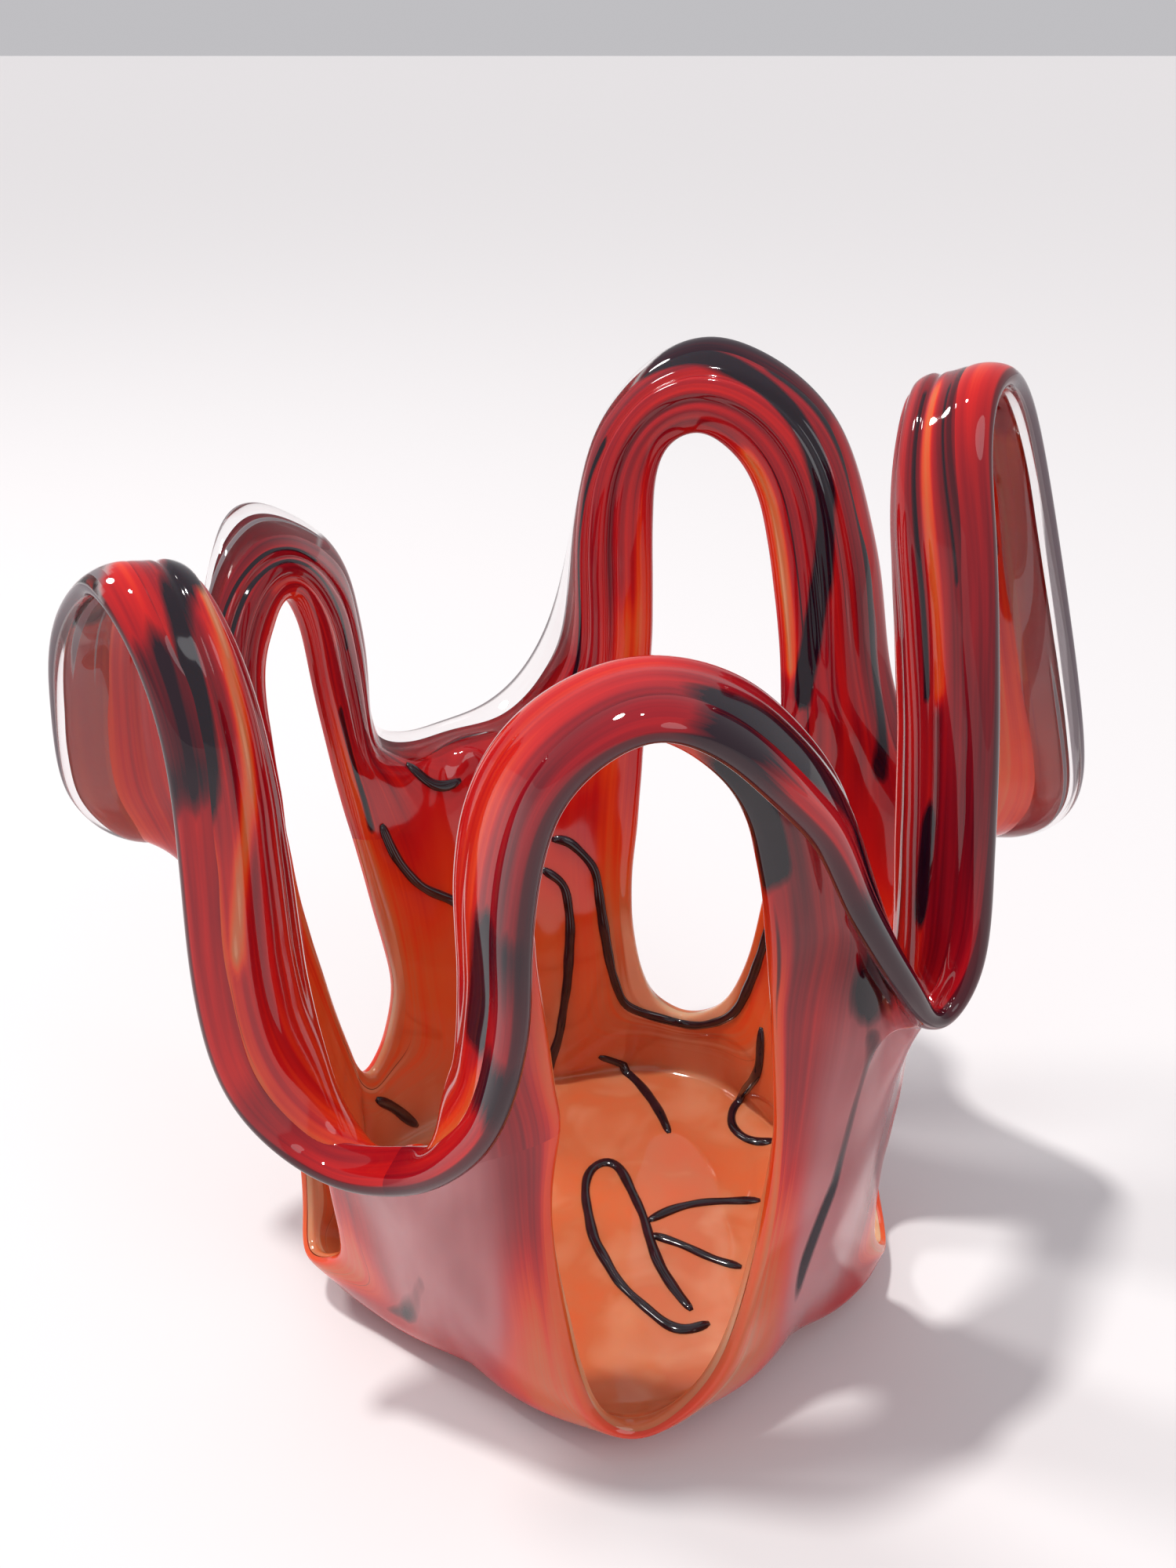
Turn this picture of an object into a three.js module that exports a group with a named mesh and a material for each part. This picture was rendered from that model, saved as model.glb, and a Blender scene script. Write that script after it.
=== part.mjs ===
// Hand blown art glass vase: one pulled bubble pierced by five tall windows, so that the wall
// becomes five tall loops joined by five narrow webs. Layers as the glass was gathered:
// orange lining, ruby casing, clear lip wrap, ground foot pad, and black thread trails.
// Millimetres, +Z up, the front faces -Y. The foot stands on Z = 0, centred on the Z axis.
import * as THREE from 'three';

// ---- Driving dimensions -------------------------------------------------------------
const CASING_THICK = 2.8;      // ruby outer layer
const LINING_THICK = 2.8;      // orange inner layer
const GAP = 0.3;               // clearance kept between touching layers
const LIP_GAP = 1.6;           // the same where the lip wrap meets both layers
const FOOT_THICK = 4.0;        // ground pad under the floor
const FOOT_INSET = 0.9;        // pad size against the floor outline
const LIP_THICK = 6.6;         // clear lip wrap, across its thickest part
const TRAIL_RADIUS = 1.1;      // black trails

// ---- Grid of one lobe, counted around its window --------------------------------------
const ARCH_STEPS = 24;         // along the lip, from one valley to the next
const WEB_STEPS = 5;           // down a web, from the valley to the floor
const FLOOR_STEPS = 4;         // along the floor outline, below the window
const ACROSS_STEPS = 5;        // from the window edge to the lip
const FLOOR_RINGS = 3;
const ARCH_PASSES = 2;         // evening-out passes on the loops
const WEB_PASSES = 24;         // and on the webs
const AROUND = ARCH_STEPS + 2 * WEB_STEPS + FLOOR_STEPS;

// Every point below is [azimuth in degrees, radius, height].
// A lip point has a fourth number, the width of the clear glass there.
// A lobe's lip starts in the valley before it. Its window starts at the bottom and goes up
// the side of smaller azimuth, over the top (seventh point) and down the other side.
// A web runs from its valley down to the floor.
const LOBES = [
  {
    name: 'front',
    peak: 6,
    bulge: 35,
    footRadius: 79,
    lip: [
      [238, 105, 99, 5], [247, 107, 111, 5], [255, 109, 130, 5], [259.5, 110, 160, 5],
      [260.5, 110, 193, 5], [264, 112, 223, 4], [273, 115, 240, 4], [281, 113, 233, 4],
      [288, 111, 219, 4], [294, 110, 206, 4], [299, 112, 186, 5], [307, 115, 162, 5],
    ],
    window: [
      [277, 90, 14], [266, 87, 26], [258, 75, 80], [260, 74, 108], [257, 80, 165],
      [259, 85, 208], [273, 86, 226], [287, 85, 212], [296, 80, 182], [301, 78, 142],
      [303, 79, 90], [292, 86, 35],
    ],
    webBefore: [[237, 88, 101], [237, 75, 55], [237, 74, 0]],
  },
  {
    name: 'right',
    peak: 6,
    bulge: 24,
    footRadius: 86,
    lip: [
      [315, 115, 147, 5], [320, 117, 160, 5], [323, 114, 178, 5], [326, 109, 212, 5],
      [330, 101, 252, 5], [333, 94, 283, 5], [343, 96, 291, 6], [353, 103, 279, 8],
      [359, 116, 243, 10], [3, 133, 190, 11], [7, 142, 158, 10], [12, 140, 140, 9],
    ],
    window: [
      [350, 90, 13], [341, 86, 30], [337, 86, 60], [331, 91, 108], [335, 84, 195],
      [337, 76, 260], [345, 74, 281], [354, 82, 262], [357, 92, 215], [0, 95, 130],
      [2, 90, 70], [359, 87, 30],
    ],
    webBefore: [[316, 96, 143], [318, 84, 70], [318, 76, 0]],
  },
  {
    name: 'back_right',
    peak: 5,
    bulge: 24,
    footRadius: 79,
    lip: [
      [20, 129, 132, 8], [30, 117, 148, 7], [39, 118, 172, 6], [45, 120, 212, 6],
      [55, 120, 253, 6], [73, 120, 271, 6], [86, 118, 256, 9], [92.5, 115, 228, 14],
      [98, 111, 187, 14], [103, 108, 166, 12], [111, 108, 150, 12],
    ],
    window: [
      [67, 78, 38], [53, 76, 56], [45, 74, 95], [45, 80, 150], [54, 92, 200],
      [62, 98, 234], [73, 100, 246], [80.5, 98, 232], [80, 89, 183], [81, 79, 130],
      [82.5, 74, 85], [78, 76, 50],
    ],
    webBefore: [[20, 115, 122], [20, 98, 66], [21, 76, 0]],
  },
  {
    name: 'back_left',
    peak: 5,
    bulge: 20,
    footRadius: 82,
    lip: [
      [121, 110, 145, 12], [130, 110, 145, 11], [137, 110, 155, 7], [136, 115, 186, 6],
      [138, 120, 214, 6], [151, 120, 234, 10], [159, 120, 233, 11], [166, 118, 216, 8],
      [170, 121, 182, 6],
    ],
    window: [
      [160, 86, 44], [153, 83, 56], [151, 82, 78], [154, 89, 130], [154.5, 97, 174],
      [154, 101, 198], [156, 104, 210], [161, 104, 207], [167, 104, 188], [170, 98, 140],
      [168, 95, 98], [165, 90, 60],
    ],
    webBefore: [[119, 90, 139], [118, 74, 70], [118, 74, 0]],
  },
  {
    name: 'left',
    peak: 4,
    bulge: 22,
    footRadius: 86,
    lip: [
      [175, 138, 149, 8], [181, 152, 166, 9], [185, 149, 203, 10], [191, 141, 229, 9],
      [201, 130, 246, 7], [207, 125, 237, 5], [211, 122, 217, 5], [213, 123, 190, 5],
      [215, 126, 150, 5], [217.5, 124, 120, 5], [221, 114, 99, 5], [229, 108, 94, 5],
    ],
    window: [
      [198, 97, 22], [190, 96, 34], [184, 97, 70], [185, 106, 140], [189, 112, 190],
      [193, 111, 221], [200, 107, 239], [206, 101, 223], [208, 97.5, 185], [210, 94, 98],
      [210, 91, 60], [206, 89, 32],
    ],
    webBefore: [[177, 116, 138], [178, 106, 72], [178, 80, 0]],
  },
];

// Black trails laid on the lining. A point is on a lobe's wall, [lobe, steps around, steps
// across], or on the floor, ['floor', x, y]. Each one stops short of those it meets.
const TRAILS = {
  trail_back_valley: [
    ['back_left', 1.6, 4.0], ['back_left', 0.3, 3.8], ['back_left', -0.3, 4.1],
    ['back_left', -0.7, 4.5],
  ],
  trail_back_left_web: [
    ['back_left', 0.5, 1.1], ['back_left', -0.5, 1.2], ['back_left', -1.2, 1.6],
    ['back_left', -1.7, 2.2], ['back_left', -2.3, 3.6], ['back_left', -2.9, 4.6],
  ],
  trail_window_hem: [
    ['back_right', 25.3, 2.9], ['back_right', 25.2, 2.4], ['back_right', 25.8, 1.4],
    ['back_right', 27.0, 1.2], ['back_right', 28.1, 1.1], ['back_right', 29.0, 0.9],
    ['back_right', 30.3, 0.7], ['back_right', 32.8, 0.6], ['back_right', 33.8, 0.6],
    ['back_right', 35.2, 0.6],
  ],
  trail_hook: [
    ['back_right', 25.9, 3.3], ['back_right', 26.1, 2.5], ['back_right', 26.9, 2.4],
    ['back_right', 27.9, 2.7], ['back_right', 28.7, 3.2], ['back_right', 29.1, 3.8],
    ['back_right', 29.2, 4.4],
  ],
  trail_floor_spur: [
    ['back_right', 29.6, 3.3], ['back_right', 30.0, 3.9], ['floor', 12, 68],
    ['floor', 17, 58], ['floor', 21, 47], ['floor', 23, 38],
  ],
  trail_right_hook: [
    ['back_right', 33.5, 1.7], ['back_right', 33.0, 2.2], ['back_right', 32.4, 3.2],
    ['back_right', 32.0, 4.2], ['floor', 46, 50], ['floor', 45, 42], ['floor', 49, 35],
    ['floor', 56, 32], ['floor', 60, 34],
  ],
  trail_left_floor: [
    ['back_left', 30.9, 1.3], ['back_left', 31.4, 2.2], ['back_left', 31.6, 3.4],
    ['back_left', 31.7, 4.3],
  ],
  trail_floor_loop: [
    ['floor', 31, -48], ['floor', 26, -51], ['floor', 20, -51], ['floor', 13, -43],
    ['floor', 4, -32], ['floor', -4, -13], ['floor', -7, 8], ['floor', -6, 19],
    ['floor', 0, 25], ['floor', 5, 22], ['floor', 9, 9], ['floor', 13, -4],
    ['floor', 14, -12], ['floor', 17, -25], ['floor', 22, -36], ['floor', 26, -43],
  ],
  trail_floor_branch_a: [
    ['floor', 18, -2], ['floor', 23, 1], ['floor', 32, 4], ['floor', 52, 5],
  ],
  trail_floor_branch_b: [
    ['floor', 18.5, -11], ['floor', 26, -16], ['floor', 34, -22], ['floor', 43, -25],
  ],
};
const TRAIL_CLEARANCE = 0.5;   // trails stand this far clear of the flat facets of the lining
const TRAIL_SIDES = 7;

const FLOOR_LEVEL = FOOT_THICK + GAP + CASING_THICK + GAP / 2;

// ---- Curves ----------------------------------------------------------------------------
function fromCylinder([azimuth, radius, height]) {
  const a = THREE.MathUtils.degToRad(azimuth);
  return new THREE.Vector3(radius * Math.cos(a), radius * Math.sin(a), height);
}

// A smooth closed curve through its points; at(k) is point k, and k may be a fraction.
function closedCurve(points) {
  const n = points.length;
  return (k) => {
    const i = Math.floor(k);
    const t = k - i;
    const [a, b, c, d] = [-1, 0, 1, 2].map((o) => points[(((i + o) % n) + n) % n]);
    const out = b.clone().multiplyScalar(2);
    out.addScaledVector(c.clone().sub(a), t);
    const bend = a.clone().multiplyScalar(2).addScaledVector(b, -5).addScaledVector(c, 4).sub(d);
    out.addScaledVector(bend, t * t);
    const twist = b.clone().sub(c).multiplyScalar(3).add(d).sub(a);
    out.addScaledVector(twist, t * t * t);
    return out.multiplyScalar(0.5);
  };
}

// Places k from..to split into equal lengths along the curve.
function evenly(at, from, to, steps) {
  const fine = 24 * Math.max(1, Math.ceil(Math.abs(to - from)));
  const lengths = [0];
  for (let j = 1; j <= fine; j += 1) {
    const p = at(from + ((to - from) * (j - 1)) / fine);
    const q = at(from + ((to - from) * j) / fine);
    lengths.push(lengths[j - 1] + p.distanceTo(q));
  }
  const places = [];
  let j = 0;
  for (let s = 0; s < steps; s += 1) {
    const wanted = (lengths[fine] * s) / steps;
    while (lengths[j + 1] < wanted) {
      j += 1;
    }
    const share = (wanted - lengths[j]) / (lengths[j + 1] - lengths[j]);
    places.push(from + ((to - from) * (j + share)) / fine);
  }
  return places;
}

// ---- The lip line, once around the vase -------------------------------------------------
const lipPoints = LOBES.flatMap((lobe) => lobe.lip.map(fromCylinder));
const lipWidths = LOBES.flatMap((lobe) => lobe.lip.map((p) => new THREE.Vector3(p[3], 0, 0)));
const lipAt = closedCurve(lipPoints);
const lipWidthAt = closedCurve(lipWidths);
let first = 0;
for (const lobe of LOBES) {
  lobe.start = first;
  first += lobe.lip.length;
  lobe.end = first;
  const half = ARCH_STEPS / 2;
  const rising = evenly(lipAt, lobe.start, lobe.start + lobe.peak, half);
  const falling = evenly(lipAt, lobe.start + lobe.peak, lobe.end, half);
  lobe.lipPlaces = [...rising, ...falling];
}
const lipPlaces = LOBES.flatMap((lobe) => lobe.lipPlaces);

// ---- Window edges ------------------------------------------------------------------------
function windowEdge(lobe) {
  const at = closedCurve(lobe.window.map(fromCylinder));
  const half = ARCH_STEPS / 2;
  const half_floor = FLOOR_STEPS / 2;
  const places = [
    ...evenly(at, 3, 6, half),
    ...evenly(at, 6, 9, half),
    ...evenly(at, 9, 11, WEB_STEPS),
    ...evenly(at, 11, 12, half_floor),
    ...evenly(at, 12, 13, half_floor),
    ...evenly(at, 13, 15, WEB_STEPS),
  ];
  return places.map(at);
}

// Direction in which the wall leaves the window edge: along the wall, away from the opening.
function awayFromWindow(edge, k) {
  const n = edge.length;
  const along = edge[(k + 1) % n].clone().sub(edge[(k + n - 1) % n]).normalize();
  const outward = new THREE.Vector3(edge[k].x, edge[k].y, 0).normalize();
  return outward.cross(along).normalize();
}

// ---- The shared sheet: one grid of points, lobe by lobe ------------------------------------
const sheet = { points: [], quads: [], fixed: new Set(), webs: new Set() };

function addPoint(p, fixed) {
  sheet.points.push(p);
  if (fixed) {
    sheet.fixed.add(sheet.points.length - 1);
  }
  return sheet.points.length - 1;
}

// The lip of the coloured glass lies inside the clear wrap by the wrap's width.
const n_lip = lipPlaces.length;
const lipOuter = lipPlaces.map(lipAt);
const lipInward = [];
LOBES.forEach((lobe, i) => {
  lobe.edge = windowEdge(lobe);
  for (let k = 0; k < ARCH_STEPS; k += 1) {
    const away = awayFromWindow(lobe.edge, k);
    const control = lobe.edge[k].clone().addScaledVector(away, lobe.bulge);
    if (k === 0) {
      control.copy(fromCylinder(lobe.webBefore[0]));
    }
    lipInward.push(control.sub(lipOuter[i * ARCH_STEPS + k]).normalize());
  }
});
for (let pass = 0; pass < 5; pass += 1) {
  const before = lipInward.map((v) => v.clone());
  lipInward.forEach((v, k) => {
    v.add(before[(k + 1) % n_lip]).add(before[(k + n_lip - 1) % n_lip]).normalize();
  });
}
const lipInner = lipOuter.map((p, k) => {
  const width = lipWidthAt(lipPlaces[k]).x;
  return p.clone().addScaledVector(lipInward[k], width + LIP_GAP);
});
const lipIndex = lipInner.map((p) => addPoint(p, true));

// Webs: a line from each valley down to the floor outline, shared by two lobes.
const webs = LOBES.map((lobe, i) => {
  const valley = lipInner[i * ARCH_STEPS];
  const [throat, waist, foot] = lobe.webBefore.map(fromCylinder);
  foot.z = FLOOR_LEVEL;
  const start = throat.clone().lerp(valley, 0.1);
  const curve = new THREE.CatmullRomCurve3([start, throat, waist, foot]);
  const indices = [lipIndex[i * ARCH_STEPS]];
  for (let k = 1; k <= WEB_STEPS; k += 1) {
    const share = (k - 1) / (WEB_STEPS - 1);
    indices.push(addPoint(curve.getPointAt(share), k === 1 || k === WEB_STEPS));
    sheet.webs.add(indices[k]);
  }
  return indices;
});

// Floor outline below a window, from the web after it back to the web before it.
function floorOutline(lobe, after, before) {
  const from = sheet.points[after[WEB_STEPS]];
  const to = sheet.points[before[WEB_STEPS]];
  const corner = fromCylinder([lobe.window[0][0], lobe.footRadius, FLOOR_LEVEL]);
  const middle = corner.clone().multiplyScalar(2).addScaledVector(from, -0.5);
  middle.addScaledVector(to, -0.5);
  middle.z = FLOOR_LEVEL;
  const curve = new THREE.QuadraticBezierCurve3(from, middle, to);
  const indices = [];
  for (let k = 1; k < FLOOR_STEPS; k += 1) {
    indices.push(addPoint(curve.getPoint(k / FLOOR_STEPS), true));
  }
  return indices;
}

function bezier(a, b, c, d, t) {
  const u = 1 - t;
  const p = a.clone().multiplyScalar(u * u * u);
  p.addScaledVector(b, 3 * u * u * t);
  p.addScaledVector(c, 3 * u * t * t);
  return p.addScaledVector(d, t * t * t);
}

LOBES.forEach((lobe, i) => {
  const n = LOBES.length;
  const before = webs[i];
  const after = webs[(i + 1) % n];
  const outer = [];
  for (let k = 0; k < ARCH_STEPS; k += 1) {
    outer.push(lipIndex[i * ARCH_STEPS + k]);
  }
  outer.push(...after);
  lobe.floor = floorOutline(lobe, after, before);
  outer.push(...lobe.floor);
  outer.push(...before.slice(1).reverse());
  lobe.outer = outer;
  lobe.rows = [lobe.edge.map((p) => addPoint(p, true))];
  for (let s = 1; s < ACROSS_STEPS; s += 1) {
    lobe.rows.push([]);
  }
  for (let k = 0; k < AROUND; k += 1) {
    const from = lobe.edge[k];
    const to = sheet.points[outer[k]];
    const away = awayFromWindow(lobe.edge, k);
    const reach = k <= ARCH_STEPS ? lobe.bulge : from.distanceTo(to) * 0.5;
    const belowWindow = k >= ARCH_STEPS + WEB_STEPS && k <= AROUND - WEB_STEPS;
    let leave = from.clone().addScaledVector(away, reach * 0.72);
    let arrive = to.clone().lerp(leave, 0.4);
    if (k > 0 && k < ARCH_STEPS) {
      arrive = to.clone().addScaledVector(lipInward[i * ARCH_STEPS + k], reach * 0.6);
    } else if (belowWindow) {
      leave = from.clone().lerp(to, 0.33);
      arrive = from.clone().lerp(to, 0.67);
    }
    for (let s = 1; s < ACROSS_STEPS; s += 1) {
      const p = bezier(from, leave, arrive, to, s / ACROSS_STEPS);
      lobe.rows[s].push(addPoint(p, belowWindow));
      if (k < 2 || k > ARCH_STEPS - 2) {
        sheet.webs.add(lobe.rows[s][k]);
      }
    }
  }
  lobe.rows.push(outer);
  for (let s = 0; s < ACROSS_STEPS; s += 1) {
    for (let k = 0; k < AROUND; k += 1) {
      const m = (k + 1) % AROUND;
      const [low, high] = [lobe.rows[s], lobe.rows[s + 1]];
      sheet.quads.push([low[k], high[k], high[m], low[m]]);
    }
  }
});

// The floor: rings from its outline to the centre.
const floorRing = [];
for (let i = LOBES.length - 1; i >= 0; i -= 1) {
  floorRing.push(webs[(i + 1) % LOBES.length][WEB_STEPS]);
  floorRing.push(...LOBES[i].floor);
}
const centre = addPoint(new THREE.Vector3(0, 0, FLOOR_LEVEL), true);
let ring = floorRing;
for (let r = 1; r < FLOOR_RINGS; r += 1) {
  const share = 1 - r / FLOOR_RINGS;
  const next = floorRing.map((index) => {
    const p = sheet.points[index].clone();
    return addPoint(new THREE.Vector3(p.x * share, p.y * share, FLOOR_LEVEL), true);
  });
  for (let k = 0; k < ring.length; k += 1) {
    const m = (k + 1) % ring.length;
    sheet.quads.push([ring[m], ring[k], next[k], next[m]]);
  }
  ring = next;
}
const floorFan = ring.map((p, k) => [ring[(k + 1) % ring.length], p, centre]);

// Even the sheet out, as hot glass does, with its edges and the floor held.
function neighbours() {
  const near = sheet.points.map(() => new Set());
  for (const quad of sheet.quads) {
    quad.forEach((p, k) => {
      near[p].add(quad[(k + 1) % 4]);
      near[p].add(quad[(k + 3) % 4]);
    });
  }
  return near;
}
const near = neighbours();
for (let pass = 0; pass < WEB_PASSES; pass += 1) {
  const before = sheet.points.map((p) => p.clone());
  sheet.points.forEach((p, index) => {
    const smoothed = pass < ARCH_PASSES || sheet.webs.has(index);
    if (smoothed && !sheet.fixed.has(index)) {
      const mean = new THREE.Vector3();
      near[index].forEach((q) => mean.add(before[q]));
      mean.divideScalar(near[index].size);
      p.lerp(mean, 0.5);
    }
  });
}

// ---- Normals of the sheet, pointing to the inside of the bowl --------------------------------
const faces = [];
for (const [a, b, c, d] of sheet.quads) {
  faces.push([a, b, c], [a, c, d]);
}
faces.push(...floorFan);
const normals = sheet.points.map(() => new THREE.Vector3());
for (const [a, b, c] of faces) {
  const [p, q, r] = [sheet.points[a], sheet.points[b], sheet.points[c]];
  const n = q.clone().sub(p).cross(r.clone().sub(p));
  for (const v of [a, b, c]) {
    normals[v].add(n);
  }
}
normals.forEach((n) => n.normalize());
const floorNormal = normals[centre].z > 0 ? 1 : -1;
normals.forEach((n) => n.multiplyScalar(floorNormal));

// ---- Solids ----------------------------------------------------------------------------------
const group = new THREE.Group();
group.name = 'art_glass_vase';

function addMesh(name, geometry, colour, roughness, opacity) {
  geometry.computeVertexNormals();
  const material = new THREE.MeshStandardMaterial({ color: colour, roughness, metalness: 0 });
  material.name = `${name}_glass`;
  if (opacity < 1) {
    material.transparent = true;
    material.opacity = opacity;
  }
  const mesh = new THREE.Mesh(geometry, material);
  mesh.name = name;
  group.add(mesh);
}

function toGeometry(points, triangles) {
  const geometry = new THREE.BufferGeometry();
  const flat = points.flatMap((p) => [p.x, p.y, p.z]);
  geometry.setAttribute('position', new THREE.Float32BufferAttribute(flat, 3));
  geometry.setIndex(triangles.flat());
  return geometry;
}

// A layer of the sheet between two distances along its normals, closed at every free edge.
function layer(low, high) {
  const count = sheet.points.length;
  const at = (d) => sheet.points.map((p, k) => p.clone().addScaledVector(normals[k], d));
  const points = [...at(high), ...at(low)];
  const turned = floorNormal > 0 ? faces : faces.map(([a, b, c]) => [a, c, b]);
  const triangles = turned.map((f) => [...f]);
  const sides = new Map();
  for (const [a, b, c] of turned) {
    triangles.push([a + count, c + count, b + count]);
    for (const [p, q] of [[a, b], [b, c], [c, a]]) {
      if (sides.has(`${q},${p}`)) {
        sides.delete(`${q},${p}`);
      } else {
        sides.set(`${p},${q}`, [p, q]);
      }
    }
  }
  for (const [p, q] of sides.values()) {
    triangles.push([q, p, p + count], [q, p + count, q + count]);
  }
  return toGeometry(points, triangles);
}

addMesh('ruby_casing', layer(-GAP / 2 - CASING_THICK, -GAP / 2), 0x7a0d14, 0.12, 1);
addMesh('orange_lining', layer(GAP / 2, GAP / 2 + LINING_THICK), 0xe2531f, 0.12, 1);

// Clear lip wrap: a closed ribbon with a rounded outer edge, all the way around.
function lipWrap() {
  const points = [];
  const triangles = [];
  const half = [[0, 0.45], [0.4, 1], [0.82, 0.7]];
  const mirrored = half.map(([w, h]) => [w, -h]).reverse();
  const section = [...half, [1, 0], ...mirrored];
  const m = section.length;
  for (let k = 0; k < n_lip; k += 1) {
    const along = lipOuter[(k + 1) % n_lip].clone().sub(lipOuter[(k + n_lip - 1) % n_lip]);
    const inner = lipInner[k].clone().addScaledVector(lipInward[k], -LIP_GAP);
    const across = lipOuter[k].clone().sub(inner);
    const up = normals[lipIndex[k]].clone().projectOnPlane(along.normalize()).normalize();
    for (const [w, h] of section) {
      const p = inner.clone().addScaledVector(across, w);
      points.push(p.addScaledVector(up, (h * LIP_THICK) / 2));
    }
    const next = (k + 1) % n_lip;
    for (let j = 0; j < m; j += 1) {
      const i = (j + 1) % m;
      const [a, b, c, d] = [k * m + j, k * m + i, next * m + i, next * m + j];
      triangles.push([a, b, c], [a, c, d]);
    }
  }
  const geometry = toGeometry(points, triangles);
  return geometry;
}
addMesh('clear_lip_wrap', lipWrap(), 0xe8e2ea, 0.05, 0.45);

// Foot pad: the floor outline, a little smaller, ground flat.
function footPad() {
  const shape = new THREE.Shape();
  const outline = floorRing.map((index) => sheet.points[index]);
  outline.reverse();
  outline.forEach((p, k) => {
    const [x, y] = [p.x * FOOT_INSET, p.y * FOOT_INSET];
    if (k === 0) {
      shape.moveTo(x, y);
    } else {
      shape.lineTo(x, y);
    }
  });
  const options = { depth: FOOT_THICK, bevelEnabled: false, steps: 1 };
  return new THREE.ExtrudeGeometry(shape, options);
}
addMesh('foot_pad', footPad(), 0x8c1a1c, 0.3, 1);

// Trails. Each is a rod bent to follow the lining.
const lobeNamed = Object.fromEntries(LOBES.map((lobe) => [lobe.name, lobe]));
const TRAIL_HEIGHT = GAP / 2 + LINING_THICK + TRAIL_CLEARANCE + TRAIL_RADIUS;

function onSheet([place, u, v]) {
  if (place === 'floor') {
    return new THREE.Vector3(u, v, FLOOR_LEVEL + TRAIL_HEIGHT);
  }
  const { rows } = lobeNamed[place];
  const around = ((u % AROUND) + AROUND) % AROUND;
  const [k, s] = [Math.floor(around), Math.min(Math.floor(v), ACROSS_STEPS - 1)];
  const [a, b] = [around - k, v - s];
  const point = new THREE.Vector3();
  const corners = [[0, 0, (1 - a) * (1 - b)], [1, 0, a * (1 - b)], [0, 1, (1 - a) * b], [1, 1, a * b]];
  for (const [dk, ds, weight] of corners) {
    const index = rows[s + ds][(k + dk) % AROUND];
    point.addScaledVector(sheet.points[index], weight);
    point.addScaledVector(normals[index], weight * TRAIL_HEIGHT);
  }
  return point;
}

function trail(route) {
  const points = [];
  route.forEach(([place, u, v], k) => {
    points.push(onSheet([place, u, v]));
    const next = route[k + 1];
    if (next && next[0] === place) {
      for (const t of [0.33, 0.67]) {
        points.push(onSheet([place, u + (next[1] - u) * t, v + (next[2] - v) * t]));
      }
    }
  });
  const path = new THREE.CatmullRomCurve3(points);
  const section = new THREE.Shape();
  for (let k = 0; k < TRAIL_SIDES; k += 1) {
    const a = (2 * Math.PI * k) / TRAIL_SIDES;
    const [x, y] = [TRAIL_RADIUS * Math.cos(a), TRAIL_RADIUS * Math.sin(a)];
    if (k === 0) {
      section.moveTo(x, y);
    } else {
      section.lineTo(x, y);
    }
  }
  const steps = Math.ceil(path.getLength() / 5);
  const options = { steps, extrudePath: path, bevelEnabled: false };
  return new THREE.ExtrudeGeometry(section, options);
}
for (const [name, route] of Object.entries(TRAILS)) {
  addMesh(name, trail(route), 0x120d10, 0.2, 1);
}

export default group;
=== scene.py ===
# Hand blown art glass vase: the seen glass, laid over the CAD frame. Metres in Blender.
# The sheet below is the wall's middle surface, from the same control points as the CAD part.
import math
import bpy
import numpy as np
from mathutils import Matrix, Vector, noise
from mathutils.bvhtree import BVHTree


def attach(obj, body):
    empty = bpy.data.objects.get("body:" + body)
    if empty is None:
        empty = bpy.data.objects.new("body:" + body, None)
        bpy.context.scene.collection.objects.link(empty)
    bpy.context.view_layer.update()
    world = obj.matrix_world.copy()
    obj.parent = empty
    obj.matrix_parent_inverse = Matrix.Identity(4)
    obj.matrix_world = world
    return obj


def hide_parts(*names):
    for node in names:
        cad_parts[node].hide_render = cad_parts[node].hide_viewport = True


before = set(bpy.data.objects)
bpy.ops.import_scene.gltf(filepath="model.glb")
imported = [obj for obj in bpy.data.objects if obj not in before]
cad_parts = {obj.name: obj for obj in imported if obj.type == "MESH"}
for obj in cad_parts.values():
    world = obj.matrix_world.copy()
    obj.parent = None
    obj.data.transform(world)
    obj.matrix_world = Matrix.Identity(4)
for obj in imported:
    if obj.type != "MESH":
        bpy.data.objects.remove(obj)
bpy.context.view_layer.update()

MM = 0.001
scene = bpy.context.scene

# ---- Sizes of the glass, millimetres ---------------------------------------------------
HALF_WALL = 2.95          # half of the coloured wall
GLASS_LAYER, LAYER_GAP = 2.8, 0.3
FOOT_THICK = 4.0
# How far the coloured edge runs into a wide clear wrap, for each lobe, front lobe first.
COLOUR_INTO_WRAP = (0.4, 0.85, 0.35, 0.6, 1.1)
LIP_GAP = 1.6             # between the clear wrap and the coloured wall
ARCH_STEPS, WEB_STEPS, FLOOR_STEPS, ACROSS_STEPS, FLOOR_RINGS = 24, 5, 4, 5, 3
ARCH_PASSES, WEB_PASSES = 2, 24
AROUND = ARCH_STEPS + 2 * WEB_STEPS + FLOOR_STEPS
FLOOR_LEVEL = FOOT_THICK + LAYER_GAP + GLASS_LAYER + LAYER_GAP / 2
TRAIL_HALF_WIDTH, TRAIL_STEP, TRAIL_SIDES, TRAIL_PASSES = 1.7, 1.6, 12, 12

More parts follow.
